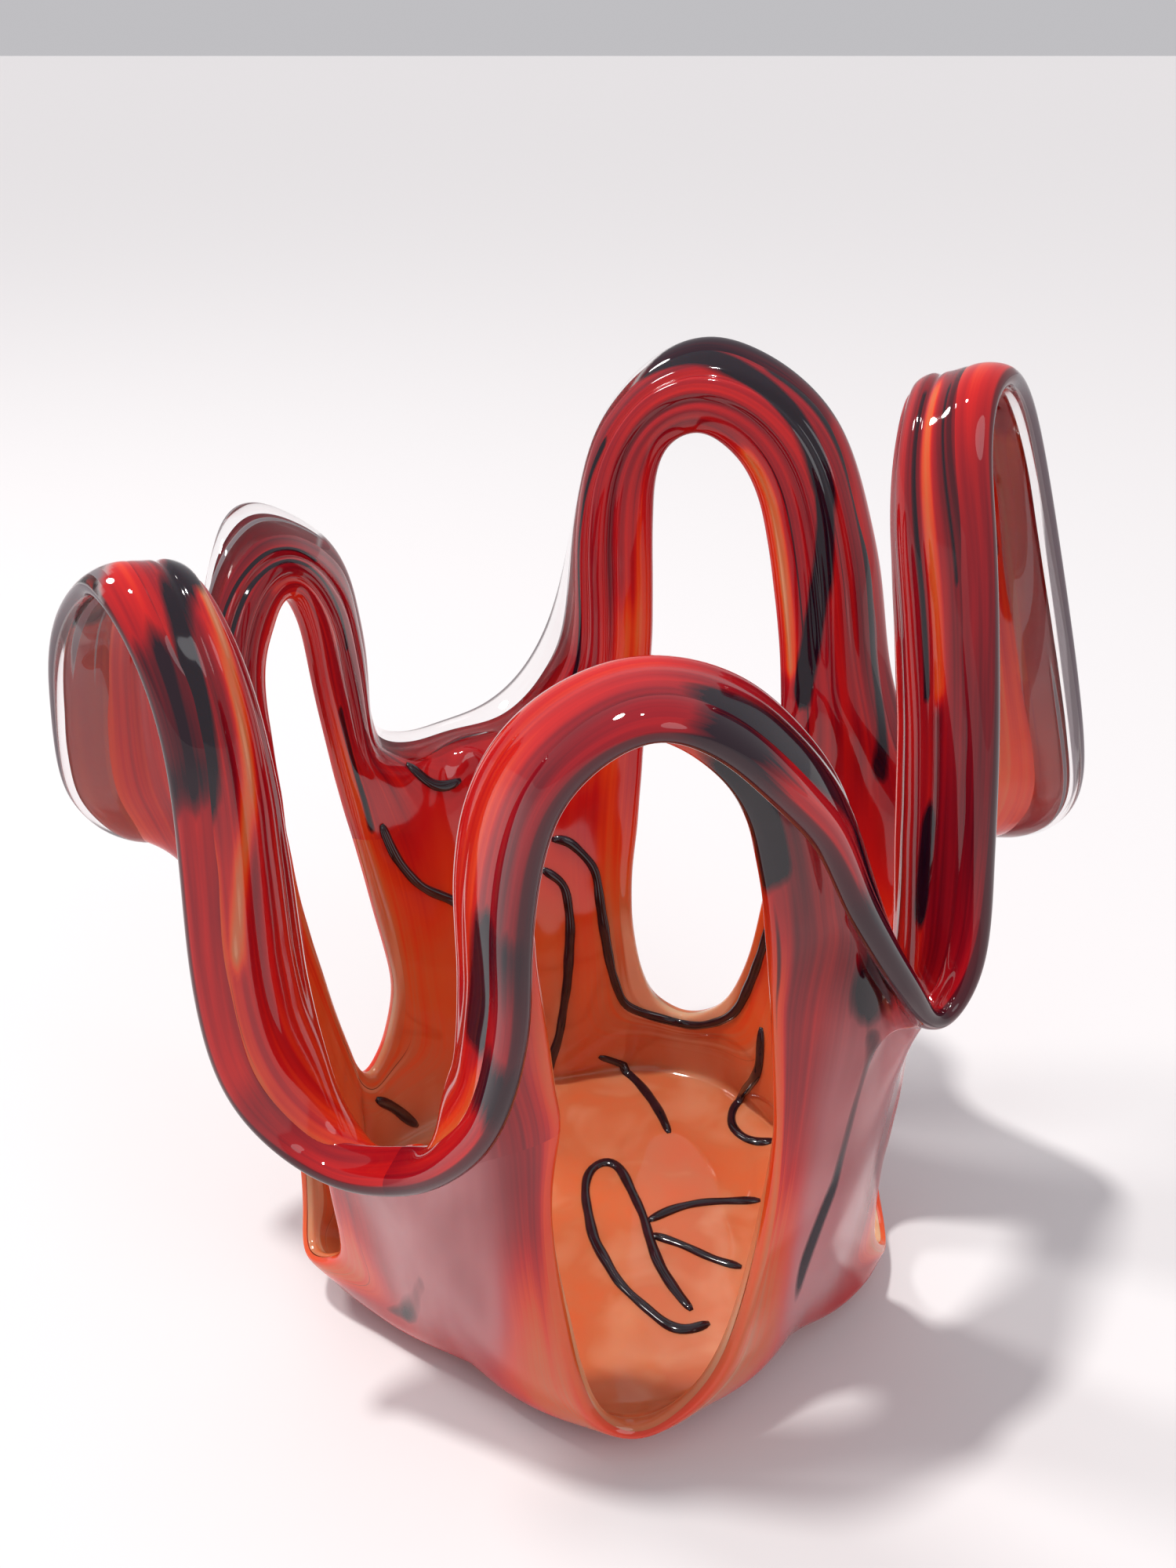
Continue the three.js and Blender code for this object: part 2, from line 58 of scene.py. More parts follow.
# Lobes: lip points [azimuth, radius, height, clear width], window points, and the web
# before the lobe. Counted anticlockwise from above, the front lobe first.
LOBES = [
    dict(name="front", peak=6, bulge=35, foot=79, lip=[
        [238, 105, 99, 5], [247, 107, 111, 5], [255, 109, 130, 5], [259.5, 110, 160, 5],
        [260.5, 110, 193, 5], [264, 112, 223, 4], [273, 115, 240, 4], [281, 113, 233, 4],
        [288, 111, 219, 4], [294, 110, 206, 4], [299, 112, 186, 5], [307, 115, 162, 5]],
        window=[[277, 90, 14], [266, 87, 26], [258, 75, 80], [260, 74, 108], [257, 80, 165],
                [259, 85, 208], [273, 86, 226], [287, 85, 212], [296, 80, 182],
                [301, 78, 142], [303, 79, 90], [292, 86, 35]],
        web=[[237, 88, 101], [237, 75, 55], [237, 74, 0]]),
    dict(name="right", peak=6, bulge=24, foot=86, lip=[
        [315, 115, 147, 5], [320, 117, 160, 5], [323, 114, 178, 5], [326, 109, 212, 5],
        [330, 101, 252, 5], [333, 94, 283, 5], [343, 96, 291, 6], [353, 103, 279, 8],
        [359, 116, 243, 10], [3, 133, 190, 11], [7, 142, 158, 10], [12, 140, 140, 9]],
        window=[[350, 90, 13], [341, 86, 30], [337, 86, 60], [331, 91, 108], [335, 84, 195],
                [337, 76, 260], [345, 74, 281], [354, 82, 262], [357, 92, 215], [0, 95, 130],
                [2, 90, 70], [359, 87, 30]],
        web=[[316, 96, 143], [318, 84, 70], [318, 76, 0]]),
    dict(name="back_right", peak=5, bulge=24, foot=79, lip=[
        [20, 129, 132, 8], [30, 117, 148, 7], [39, 118, 172, 6], [45, 120, 212, 6],
        [55, 120, 253, 6], [73, 120, 271, 6], [86, 118, 256, 9], [92.5, 115, 228, 14],
        [98, 111, 187, 14], [103, 108, 166, 12], [111, 108, 150, 12]],
        window=[[67, 78, 38], [53, 76, 56], [45, 74, 95], [45, 80, 150], [54, 92, 200],
                [62, 98, 234], [73, 100, 246], [80.5, 98, 232], [80, 89, 183], [81, 79, 130],
                [82.5, 74, 85], [78, 76, 50]],
        web=[[20, 115, 122], [20, 98, 66], [21, 76, 0]]),
    dict(name="back_left", peak=5, bulge=20, foot=82, lip=[
        [121, 110, 145, 12], [130, 110, 145, 11], [137, 110, 155, 7], [136, 115, 186, 6],
        [138, 120, 214, 6], [151, 120, 234, 10], [159, 120, 233, 11], [166, 118, 216, 8],
        [170, 121, 182, 6]],
        window=[[160, 86, 44], [153, 83, 56], [151, 82, 78], [154, 89, 130],
                [154.5, 97, 174], [154, 101, 198], [156, 104, 210], [161, 104, 207],
                [167, 104, 188], [170, 98, 140], [168, 95, 98], [165, 90, 60]],
        web=[[119, 90, 139], [118, 74, 70], [118, 74, 0]]),
    dict(name="left", peak=4, bulge=22, foot=86, lip=[
        [175, 138, 149, 8], [181, 152, 166, 9], [185, 149, 203, 10], [191, 141, 229, 9],
        [201, 130, 246, 7], [207, 125, 237, 5], [211, 122, 217, 5], [213, 123, 190, 5],
        [215, 126, 150, 5], [217.5, 124, 120, 5], [221, 114, 99, 5], [229, 108, 94, 5]],
        window=[[198, 97, 22], [190, 96, 34], [184, 97, 70], [185, 106, 140],
                [189, 112, 190], [193, 111, 221], [200, 107, 239], [206, 101, 223],
                [208, 97.5, 185], [210, 94, 98], [210, 91, 60], [206, 89, 32]],
        web=[[177, 116, 138], [178, 106, 72], [178, 80, 0]]),
]
FRONT, RIGHT, BACK_RIGHT, BACK_LEFT, LEFT = range(5)

# Black trails on the lining: points [lobe, steps around, steps across] or ["floor", x, y].
TRAILS = {
    "trail_back_valley": [
        [BACK_LEFT, 1.6, 4.0], [BACK_LEFT, 0.3, 3.8], [BACK_LEFT, -0.3, 4.1],
        [BACK_LEFT, -0.7, 4.5]],
    "trail_back_left_web": [
        [BACK_LEFT, 0.5, 1.1], [BACK_LEFT, -0.5, 1.2], [BACK_LEFT, -1.2, 1.6],
        [BACK_LEFT, -1.7, 2.2], [BACK_LEFT, -2.3, 3.6], [BACK_LEFT, -2.9, 4.6]],
    "trail_window_hem": [
        [BACK_RIGHT, 25.3, 2.9], [BACK_RIGHT, 25.2, 2.4], [BACK_RIGHT, 25.8, 1.4],
        [BACK_RIGHT, 27.0, 1.2], [BACK_RIGHT, 28.1, 1.1], [BACK_RIGHT, 29.0, 0.9],
        [BACK_RIGHT, 30.3, 0.7], [BACK_RIGHT, 32.8, 0.6], [BACK_RIGHT, 33.8, 0.6],
        [BACK_RIGHT, 35.2, 0.6]],
    "trail_hook": [
        [BACK_RIGHT, 25.9, 3.3], [BACK_RIGHT, 26.1, 2.5], [BACK_RIGHT, 26.9, 2.4],
        [BACK_RIGHT, 27.9, 2.7], [BACK_RIGHT, 28.7, 3.2], [BACK_RIGHT, 29.1, 3.8],
        [BACK_RIGHT, 29.2, 4.4]],
    "trail_floor_spur": [
        [BACK_RIGHT, 29.6, 3.3], [BACK_RIGHT, 30.0, 3.9], ["floor", 12, 68],
        ["floor", 17, 58], ["floor", 21, 47], ["floor", 23, 38]],
    "trail_right_hook": [
        [BACK_RIGHT, 33.5, 1.7], [BACK_RIGHT, 33.0, 2.2], [BACK_RIGHT, 32.4, 3.2],
        [BACK_RIGHT, 32.0, 4.2], ["floor", 46, 50], ["floor", 45, 42], ["floor", 49, 35],
        ["floor", 56, 32], ["floor", 60, 34]],
    "trail_left_floor": [
        [BACK_LEFT, 30.9, 1.3], [BACK_LEFT, 31.4, 2.2], [BACK_LEFT, 31.6, 3.4],
        [BACK_LEFT, 31.7, 4.3]],
    "trail_floor_loop": [
        ["floor", 31, -48], ["floor", 26, -51], ["floor", 20, -51], ["floor", 13, -43],
        ["floor", 4, -32], ["floor", -4, -13], ["floor", -7, 8], ["floor", -6, 19],
        ["floor", 0, 25], ["floor", 5, 22], ["floor", 9, 9], ["floor", 13, -4],
        ["floor", 14, -12], ["floor", 17, -25], ["floor", 22, -36], ["floor", 26, -43]],
    "trail_floor_branch_a": [
        ["floor", 14, -5], ["floor", 23, 1], ["floor", 32, 4], ["floor", 52, 5]],
    "trail_floor_branch_b": [
        ["floor", 14.5, -11], ["floor", 26, -16], ["floor", 34, -22], ["floor", 43, -25]],
}


# ---- Curves ------------------------------------------------------------------------------
def from_cylinder(p):
    a = math.radians(p[0])
    return np.array([p[1] * math.cos(a), p[1] * math.sin(a), p[2]], float)


def unit(v):
    return v / max(np.linalg.norm(v), 1e-12)


def closed_curve(points):
    pts = np.array(points, float)
    n = len(pts)

    def at(k):
        i = math.floor(k)
        t = k - i
        a, b, c, d = (pts[(i + o) % n] for o in (-1, 0, 1, 2))
        bend = 2 * a - 5 * b + 4 * c - d
        twist = 3 * b - a - 3 * c + d
        return 0.5 * (2 * b + (c - a) * t + bend * t * t + twist * t ** 3)
    return at


def evenly(at, start, end, steps):
    fine = 24 * max(1, math.ceil(abs(end - start)))
    ks = [start + (end - start) * j / fine for j in range(fine + 1)]
    pts = np.array([at(k) for k in ks])
    far = np.concatenate([[0], np.cumsum(np.linalg.norm(np.diff(pts, axis=0), axis=1))])
    return list(np.interp(far[-1] * np.arange(steps) / steps, far, ks))


def open_curve(points, share):
    """The point at a share of the length of a smooth curve through a few points."""
    p = [np.array(q, float) for q in points]
    p = [2 * p[0] - p[1]] + p + [2 * p[-1] - p[-2]]
    out = []
    for i in range(1, len(p) - 2):
        x0, x1, x2, x3 = p[i - 1], p[i], p[i + 1], p[i + 2]
        d0, d1, d2 = (max(np.linalg.norm(b - a), 1e-4) ** 0.5
                      for a, b in ((x0, x1), (x1, x2), (x2, x3)))
        t1 = ((x1 - x0) / d0 - (x2 - x0) / (d0 + d1) + (x2 - x1) / d1) * d1
        t2 = ((x2 - x1) / d1 - (x3 - x1) / (d1 + d2) + (x3 - x2) / d2) * d1
        for t in np.linspace(0, 1, 60, endpoint=i == len(p) - 3):
            c2 = -3 * x1 + 3 * x2 - 2 * t1 - t2
            c3 = 2 * x1 - 2 * x2 + t1 + t2
            out.append(x1 + t1 * t + c2 * t * t + c3 * t ** 3)
    out = np.array(out)
    far = np.concatenate([[0], np.cumsum(np.linalg.norm(np.diff(out, axis=0), axis=1))])
    want = np.asarray(share) * far[-1]
    return np.stack([np.interp(want, far, out[:, c]) for c in range(3)], -1)


# ---- The sheet: the wall's middle surface --------------------------------------------------
lip_at = closed_curve([from_cylinder(p) for lobe in LOBES for p in lobe["lip"]])
width_at = closed_curve([[p[3]] for lobe in LOBES for p in lobe["lip"]])
lip_places = []
first = 0
for lobe in LOBES:
    start, first = first, first + len(lobe["lip"])
    top, half = start + lobe["peak"], ARCH_STEPS // 2
    lip_places += evenly(lip_at, start, top, half) + evenly(lip_at, top, first, half)
n_lip = len(lip_places)
lip_outer = np.array([lip_at(k) for k in lip_places])
lip_width = np.array([width_at(k)[0] for k in lip_places])


def window_edge(lobe):
    at = closed_curve([from_cylinder(p) for p in lobe["window"]])
    half, low = ARCH_STEPS // 2, FLOOR_STEPS // 2
    places = (evenly(at, 3, 6, half) + evenly(at, 6, 9, half) + evenly(at, 9, 11, WEB_STEPS)
              + evenly(at, 11, 12, low) + evenly(at, 12, 13, low)
              + evenly(at, 13, 15, WEB_STEPS))
    return np.array([at(k) for k in places])


def away_from_window(edge, k):
    n = len(edge)
    along = unit(edge[(k + 1) % n] - edge[(k - 1) % n])
    return unit(np.cross(unit(edge[k] * (1, 1, 0)), along))


points, fixed, on_web, quads, quad_uv, quad_lobe = [], set(), set(), [], [], []


def add_point(p, held):
    points.append(np.array(p, float))
    if held:
        fixed.add(len(points) - 1)
    return len(points) - 1


lip_inward = np.zeros((n_lip, 3))
for i, lobe in enumerate(LOBES):
    lobe["edge"] = window_edge(lobe)
    for k in range(ARCH_STEPS):
        aim = lobe["edge"][k] + away_from_window(lobe["edge"], k) * lobe["bulge"]
        if k == 0:
            aim = from_cylinder(lobe["web"][0])
        lip_inward[i * ARCH_STEPS + k] = unit(aim - lip_outer[i * ARCH_STEPS + k])
for _ in range(5):
    lip_inward += np.roll(lip_inward, -1, 0) + np.roll(lip_inward, 1, 0)
    lip_inward /= np.linalg.norm(lip_inward, axis=1)[:, None]
lip_inner = lip_outer + lip_inward * (lip_width + LIP_GAP)[:, None]
lip_index = [add_point(p, True) for p in lip_inner]

webs = []
for i, lobe in enumerate(LOBES):
    throat, waist, foot = (from_cylinder(p) for p in lobe["web"])
    foot[2] = FLOOR_LEVEL
    begin = throat + 0.1 * (lip_inner[i * ARCH_STEPS] - throat)
    line = open_curve([begin, throat, waist, foot], np.arange(WEB_STEPS) / (WEB_STEPS - 1))
    ids = [lip_index[i * ARCH_STEPS]]
    for k, p in enumerate(line):
        ids.append(add_point(p, k in (0, WEB_STEPS - 1)))
        on_web.add(ids[-1])
    webs.append(ids)

for i, lobe in enumerate(LOBES):
    before, after = webs[i], webs[(i + 1) % 5]
    a, b = points[after[-1]], points[before[-1]]
    corner = from_cylinder([lobe["window"][0][0], lobe["foot"], FLOOR_LEVEL])
    mid = 2 * corner - 0.5 * (a + b)
    mid[2] = FLOOR_LEVEL
    ts = [k / FLOOR_STEPS for k in range(1, FLOOR_STEPS)]
    lobe["floor"] = [add_point((1 - t) ** 2 * a + 2 * t * (1 - t) * mid + t * t * b, True)
                     for t in ts]
    outer = ([lip_index[i * ARCH_STEPS + k] for k in range(ARCH_STEPS)] + after
             + lobe["floor"] + before[1:][::-1])
    rows = [[add_point(p, True) for p in lobe["edge"]]]
    rows += [[] for _ in range(1, ACROSS_STEPS)]
    for k in range(AROUND):
        p0, p3 = lobe["edge"][k], points[outer[k]]
        away = away_from_window(lobe["edge"], k)
        reach = lobe["bulge"] if k <= ARCH_STEPS else np.linalg.norm(p3 - p0) * 0.5
        below = ARCH_STEPS + WEB_STEPS <= k <= AROUND - WEB_STEPS
        p1 = p0 + away * reach * 0.72
        p2 = p3 + (p1 - p3) * 0.4
        if 0 < k < ARCH_STEPS:
            p2 = p3 + lip_inward[i * ARCH_STEPS + k] * reach * 0.6
        elif below:
            p1, p2 = p0 + (p3 - p0) * 0.33, p0 + (p3 - p0) * 0.67
        for s in range(1, ACROSS_STEPS):
            t, u = s / ACROSS_STEPS, 1 - s / ACROSS_STEPS
            p = u ** 3 * p0 + 3 * u * u * t * p1 + 3 * u * t * t * p2 + t ** 3 * p3
            rows[s].append(add_point(p, below))
            if k < 2 or k > ARCH_STEPS - 2:
                on_web.add(rows[s][k])
    rows.append(outer)
    lobe["rows"] = rows
    for s in range(ACROSS_STEPS):
        for k in range(AROUND):
            m = (k + 1) % AROUND
            quads.append([rows[s][k], rows[s + 1][k], rows[s + 1][m], rows[s][m]])
            quad_uv.append([(k, s), (k, s + 1), (k + 1, s + 1), (k + 1, s)])
            quad_lobe.append(i)

floor_ring = []
for i in range(4, -1, -1):
    floor_ring += [webs[(i + 1) % 5][-1]] + LOBES[i]["floor"]
outline = np.array([points[j] for j in floor_ring])
centre = add_point([0, 0, FLOOR_LEVEL], True)
ring = floor_ring
for r in range(1, FLOOR_RINGS):
    share = 1 - r / FLOOR_RINGS
    inner = [add_point(points[j] * (share, share, 1), True) for j in floor_ring]
    for k in range(len(ring)):
        m = (k + 1) % len(ring)
        quads.append([ring[m], ring[k], inner[k], inner[m]])
    ring = inner
fan = [[ring[(k + 1) % len(ring)], p, centre] for k, p in enumerate(ring)]
n_wall = len(quad_uv)
faces = quads + fan
face_uv = quad_uv + [[(29, 5)] * len(f) for f in faces[n_wall:]]
face_lobe = quad_lobe + [-1] * (len(faces) - n_wall)

P = np.array(points)
near = [set() for _ in points]
for quad in quads:
    for k in range(4):
        near[quad[k]] |= {quad[(k + 1) % 4], quad[(k + 3) % 4]}
near = [sorted(s) for s in near]
for step in range(WEB_PASSES):
    old = P.copy()
    for j in range(len(P)):
        if j not in fixed and (step < ARCH_PASSES or j in on_web):
            P[j] = (old[j] + old[near[j]].mean(0)) / 2

# The subdivided surface is to pass through these points, so the cage is let out to suit.
edge_use = {}
for f in faces:
    for k in range(len(f)):
        e = (f[k], f[(k + 1) % len(f)])
        if (e[1], e[0]) in edge_use:
            del edge_use[(e[1], e[0])]
        else:
            edge_use[e] = True
rim = {}
for a, b in edge_use:
    rim.setdefault(a, []).append(b)
    rim.setdefault(b, []).append(a)
diagonal = [[] for _ in points]
for quad in quads:
    for k in range(4):
        diagonal[quad[k]].append(quad[(k + 2) % 4])


def limit_points(Q):
    out = Q.copy()
    for j in range(len(Q)):
        if j in rim:
            out[j] = (4 * Q[j] + Q[rim[j]].sum(0)) / 6
        elif Q[j][2] > FLOOR_LEVEL + 1 and len(diagonal[j]) == len(near[j]):
            n = len(near[j])
            total = n * n * Q[j] + 4 * Q[near[j]].sum(0) + Q[diagonal[j]].sum(0)
            out[j] = total / (n * (n + 5))
    return out


target = P.copy()
for _ in range(3):
    P = P + 0.9 * (target - limit_points(P))


def corner_normals(Q):
    out = np.zeros_like(Q)
    for f in faces:
        for k in range(1, len(f) - 1):
            n = np.cross(Q[f[k]] - Q[f[0]], Q[f[k + 1]] - Q[f[0]])
            for j in (f[0], f[k], f[k + 1]):
                out[j] += n
    return out / np.linalg.norm(out, axis=1)[:, None]


N = corner_normals(P)                      # points to the inside of the bowl


def smooth(lo, hi, x):
    t = np.clip((x - lo) / (hi - lo), 0, 1)
    return t * t * (3 - 2 * t)


# ---- Mesh helpers ---------------------------------------------------------------------------
def new_object(name, verts, polys):
    mesh = bpy.data.meshes.new(name)
    mesh.from_pydata([tuple(v) for v in verts], [], polys)
    obj = bpy.data.objects.new(name, mesh)
    scene.collection.objects.link(obj)
    return obj


def subdivided(obj, levels, uvs=()):
    """Replaces the cage of an object by its smooth surface."""
    for layer, values in uvs:
        uv = obj.data.uv_layers.new(name=layer)
        uv.data.foreach_set("uv", np.array(values, np.float32).ravel())
    mod = obj.modifiers.new("smooth", "SUBSURF")
    mod.levels = mod.render_levels = levels
    mod.uv_smooth = "NONE"
    bpy.context.view_layer.update()
    made = bpy.data.meshes.new_from_object(
        obj.evaluated_get(bpy.context.evaluated_depsgraph_get()))
    made.name = obj.name
    obj.modifiers.clear()
    obj.data = made
    made.shade_smooth()
    return made


def read_co(mesh):
    co = np.zeros(len(mesh.vertices) * 3)
    mesh.vertices.foreach_get("co", co)
    return co.reshape(-1, 3)


def read_normals(mesh):
    n = np.zeros(len(mesh.vertices) * 3, np.float32)
    mesh.vertex_normals.foreach_get("vector", n)
    return n.reshape(-1, 3).astype(float)


def read_uv(mesh, name):
    uv = np.zeros(len(mesh.loops) * 2, np.float32)
    mesh.uv_layers[name].data.foreach_get("uv", uv)
    return uv.reshape(-1, 2).astype(float)


def corner_vertices(mesh):
    ids = np.zeros(len(mesh.loops), np.int32)
    mesh.loops.foreach_get("vertex_index", ids)
    return ids


def write_float(mesh, name, values):
    a = mesh.attributes.new(name, "FLOAT", "CORNER")
    a.data.foreach_set("value", np.asarray(values, np.float32))


def write_vector(mesh, name, values):
    a = mesh.attributes.new(name, "FLOAT_VECTOR", "CORNER")
    a.data.foreach_set("vector", np.asarray(values, np.float32).ravel())


# ---- Wall layers ------------------------------------------------------------------------------
rim_kind = {}
for i, lobe in enumerate(LOBES):
    for k in range(AROUND):
        j = lobe["rows"][0][k]
        rim_kind[j] = ("window", unit(P[lobe["rows"][1][k]] - P[j]))
for k, j in enumerate(lip_index):
    rim_kind[j] = ("lip", unit(P[j] - lip_outer[k]))
lip_place = {j: k for k, j in enumerate(lip_index)}

# Edges of faces on the windows and the lip, in the order of their face.
all_edges = {(f[k], f[(k + 1) % len(f)]) for f in faces for k in range(len(f))}
open_edges = {e for e in all_edges if (e[1], e[0]) not in all_edges}


# Rounded edges, millimetres: how far in the flat face ends, and the height of the bevel.
WINDOW_ROUND, WINDOW_BEVEL = 2.3, 2.2
LIP_ROUND, LIP_SURFACE, LIP_BEVEL, LIP_REACH = 0.6, 2.75, 1.3, 2.0
FULL_LIP = 5.0            # a clear wrap wider than this lets colour run further into it


def wall_layer(name, side):
    """One closed layer of the wall, from the middle surface to one side (+1 is the inside)."""
    n = len(P)
    surf = P + N * side * HALF_WALL
    verts = [*surf, *P]
    bevel = {}
    for j, (kind, inward) in rim_kind.items():
        if kind == "window":
            surf_j = P[j] + inward * WINDOW_ROUND + N[j] * side * HALF_WALL
            bevel_j, seam_j = P[j] + N[j] * side * WINDOW_BEVEL, P[j]
        else:
            place = lip_place[j]
            keep = COLOUR_INTO_WRAP[place // ARCH_STEPS]
            run = LIP_REACH + keep * max(lip_width[place] - FULL_LIP, 0)
            surf_j = P[j] + inward * LIP_ROUND + N[j] * side * LIP_SURFACE
            bevel_j = P[j] - inward * run + N[j] * side * LIP_BEVEL
            seam_j = P[j] - inward * (run + LIP_ROUND)
        verts[j], verts[n + j] = surf_j, seam_j
        bevel[j] = len(verts)
        verts.append(bevel_j)
    polys, uv, tag = [], [], []

    def put(poly, where, lobe):
        if side < 0:
            poly, where = poly[::-1], where[::-1]
        polys.append(poly)
        uv.extend(where)
        tag.extend([(lobe, 0.5)] * len(poly))

    border = {}
    for f, where, lobe in zip(faces, face_uv, face_lobe):
        put(list(f), list(where), lobe)
        put([j + n for j in f[::-1]], list(where[::-1]), lobe)
        for k in range(len(f)):
            m = (k + 1) % len(f)
            if (f[k], f[m]) in open_edges:
                border[(f[k], f[m])] = (where[k], where[m], lobe)
    for (a, b), (ua, ub, lobe) in border.items():
        out = -0.15 if rim_kind[a][0] == "window" else 0.15
        ca, cb = (ua[0], ua[1] + out), (ub[0], ub[1] + out)
        put([b, a, bevel[a], bevel[b]], [ub, ua, ca, cb], lobe)
        put([bevel[b], bevel[a], a + n, b + n], [cb, ca, ca, cb], lobe)
    obj = new_object(name, np.array(verts) * MM, polys)
    mesh = obj.data
    seams = {frozenset((a + n, b + n)) for a, b in border}
    crease = mesh.attributes.new("crease_edge", "FLOAT", "EDGE")
    sharp = mesh.attributes.new("sharp_edge", "BOOLEAN", "EDGE")
    flags = [frozenset(e.vertices) in seams for e in mesh.edges]
    crease.data.foreach_set("value", np.array(flags, np.float32))
    sharp.data.foreach_set("value", flags)
    subdivided(obj, 3, [("grid", uv), ("tag", tag)])
    return obj


# Lengths of each lobe's lines, for streaks that follow the drawn-out glass.
for lobe in LOBES:
    middle = P[np.array([lobe["rows"][3][k] for k in range(AROUND)])]
    step = np.linalg.norm(np.roll(middle, -1, 0) - middle, axis=1)
    lobe["along"] = np.concatenate([[0], np.cumsum(step)])


# Furrows of each lobe: places across (0 at the window, 5 at the lip) and depths.
GROOVES = [(1.6, 3.5, 0.7, 0.5), (1.7, 3.4, 0.8, 0.8), (1.7, 3.3, 1.1, 1.1),
           (1.7, 3.3, 1.2, 1.2), (1.6, 3.4, 0.8, 0.7)]


def furrow_wall(mesh):
    """Two shallow furrows along each loop, and the slow unevenness of blown glass."""
    ids = corner_vertices(mesh)
    grid, tag = np.zeros((len(mesh.vertices), 2)), np.zeros(len(mesh.vertices))
    grid[ids] = read_uv(mesh, "grid")
    tag[ids] = read_uv(mesh, "tag")[:, 0]
    co, nor = read_co(mesh), read_normals(mesh)
    k, s = grid[:, 0], grid[:, 1]
    fade = smooth(2, 5, k) * (1 - smooth(19, 22, k)) * (tag >= 0)
    depth = np.zeros(len(co))
    for i, (s1, s2, d1, d2) in enumerate(GROOVES):
        here = np.abs(tag - i) < 0.01
        furrow = d1 * np.exp(-((s - s1) / 0.24) ** 2) + d2 * np.exp(-((s - s2) / 0.22) ** 2)
        depth += here * fade * furrow
    slow = np.array([noise.noise(Vector(p * 28)) for p in co])
    slow2 = np.array([noise.noise(Vector(p * 75 + 5)) for p in co])
    lift = 0.45 * slow + 0.14 * slow2 - depth
    facing = np.abs(s - 2.5) < 2.75
    co += nor * (lift * facing * MM)[:, None]
    mesh.vertices.foreach_set("co", co.ravel())
    mesh.update()


casing = wall_layer("ruby_casing_glass", -1)
lining = wall_layer("orange_lining_glass", 1)
for obj in (casing, lining):
    furrow_wall(obj.data)


# ---- Colour fields ------------------------------------------------------------------------------
# Smears and warm bands: lobe, a line of [around, across] on its wall, half width, strength. Most
# warm bands are the glass's own orange. The far-strap bands are also a painted glow.
DARK_CASING = [
    (FRONT, [[14.6, 0.6], [16.4, 1.6], [17.6, 3.0]], 1.1, 1.15),
    (FRONT, [[15.0, 0.2], [18.6, 0.1]], 0.7, 1.0),
    (FRONT, [[19.6, 4.9], [21.3, 4.6], [22.9, 3.5]], 0.8, 1.3),
    (FRONT, [[7.2, 0.2], [6.2, 1.0], [5.0, 3.2], [4.4, 4.8]], 0.8, 1.15),
    (FRONT, [[24.0, 3.7], [25.3, 4.1], [26.7, 4.3], [27.8, 3.6]], 0.35, 0.9),
    (LEFT, [[27.6, 3.9], [28.4, 3.2], [29.0, 2.4]], 0.3, 0.55),
    (LEFT, [[13.6, 5.2], [14.8, 5.2]], 0.5, 0.85), (LEFT, [[18.5, 5.3], [21, 5.3]], 0.4, 0.6),
    (LEFT, [[9.5, 5.2], [11.0, 5.2]], 0.4, 0.9),
    (BACK_RIGHT, [[12.6, 5.0], [9.5, 4.6]], 0.7, 1.1),
    (BACK_RIGHT, [[5.5, 3.4], [2.5, 3.8]], 0.6, 1.0),
    (RIGHT, [[13.0, 4.4], [16.0, 4.3]], 0.2, 0.9), (RIGHT, [[4.0, 3.0], [7.0, 3.2]], 0.3, 0.9),
]
DARK_LINING = [
    (BACK_RIGHT, [[12.8, 4.8], [11.2, 4.0], [9.8, 3.4], [8.3, 3.0]], 0.55, 1.4),
    (BACK_RIGHT, [[8.3, 3.0], [6.5, 2.2], [4.5, 1.5], [2.4, 0.8]], 0.42, 1.4),
    (BACK_RIGHT, [[10.5, 4.8], [6.0, 4.6], [3.0, 4.3], [1.2, 3.6]], 0.33, 1.1),
    (BACK_RIGHT, [[20.5, 3.7], [17.0, 4.0], [14.5, 3.6]], 0.18, 1.1),
    (BACK_LEFT, [[8.0, 2.1], [12.0, 2.7], [14.0, 3.1], [18.0, 3.2]], 0.16, 1.2),
    (BACK_LEFT, [[11.0, 3.6], [15.2, 4.0], [20.0, 4.0]], 0.14, 1.2),
    (BACK_LEFT, [[0.5, 0.4], [6.0, 0.5]], 0.3, 1.0),
    (FRONT, [[13.6, 4.7], [15.3, 4.1], [17.6, 3.6], [19.2, 4.6]], 0.85, 1.2),
    (FRONT, [[15.5, 2.6], [18.0, 1.4]], 0.9, 1.0), (FRONT, [[7.2, 4.7], [5.3, 4.4]], 0.55, 1.15),
    (LEFT, [[12.2, 3.2], [13.0, 4.0], [14.0, 4.4], [15.2, 4.7]], 0.55, 1.15),
    (LEFT, [[11.8, 2.0], [12.2, 3.2]], 0.5, 1.2), (RIGHT, [[11.5, 3.2], [7.0, 3.2]], 0.13, 1.1),
    (RIGHT, [[11.4, 4.5], [8.5, 4.5]], 0.13, 1.1), (RIGHT, [[4.6, 3.4], [3.2, 3.2]], 0.4, 1.1),
]
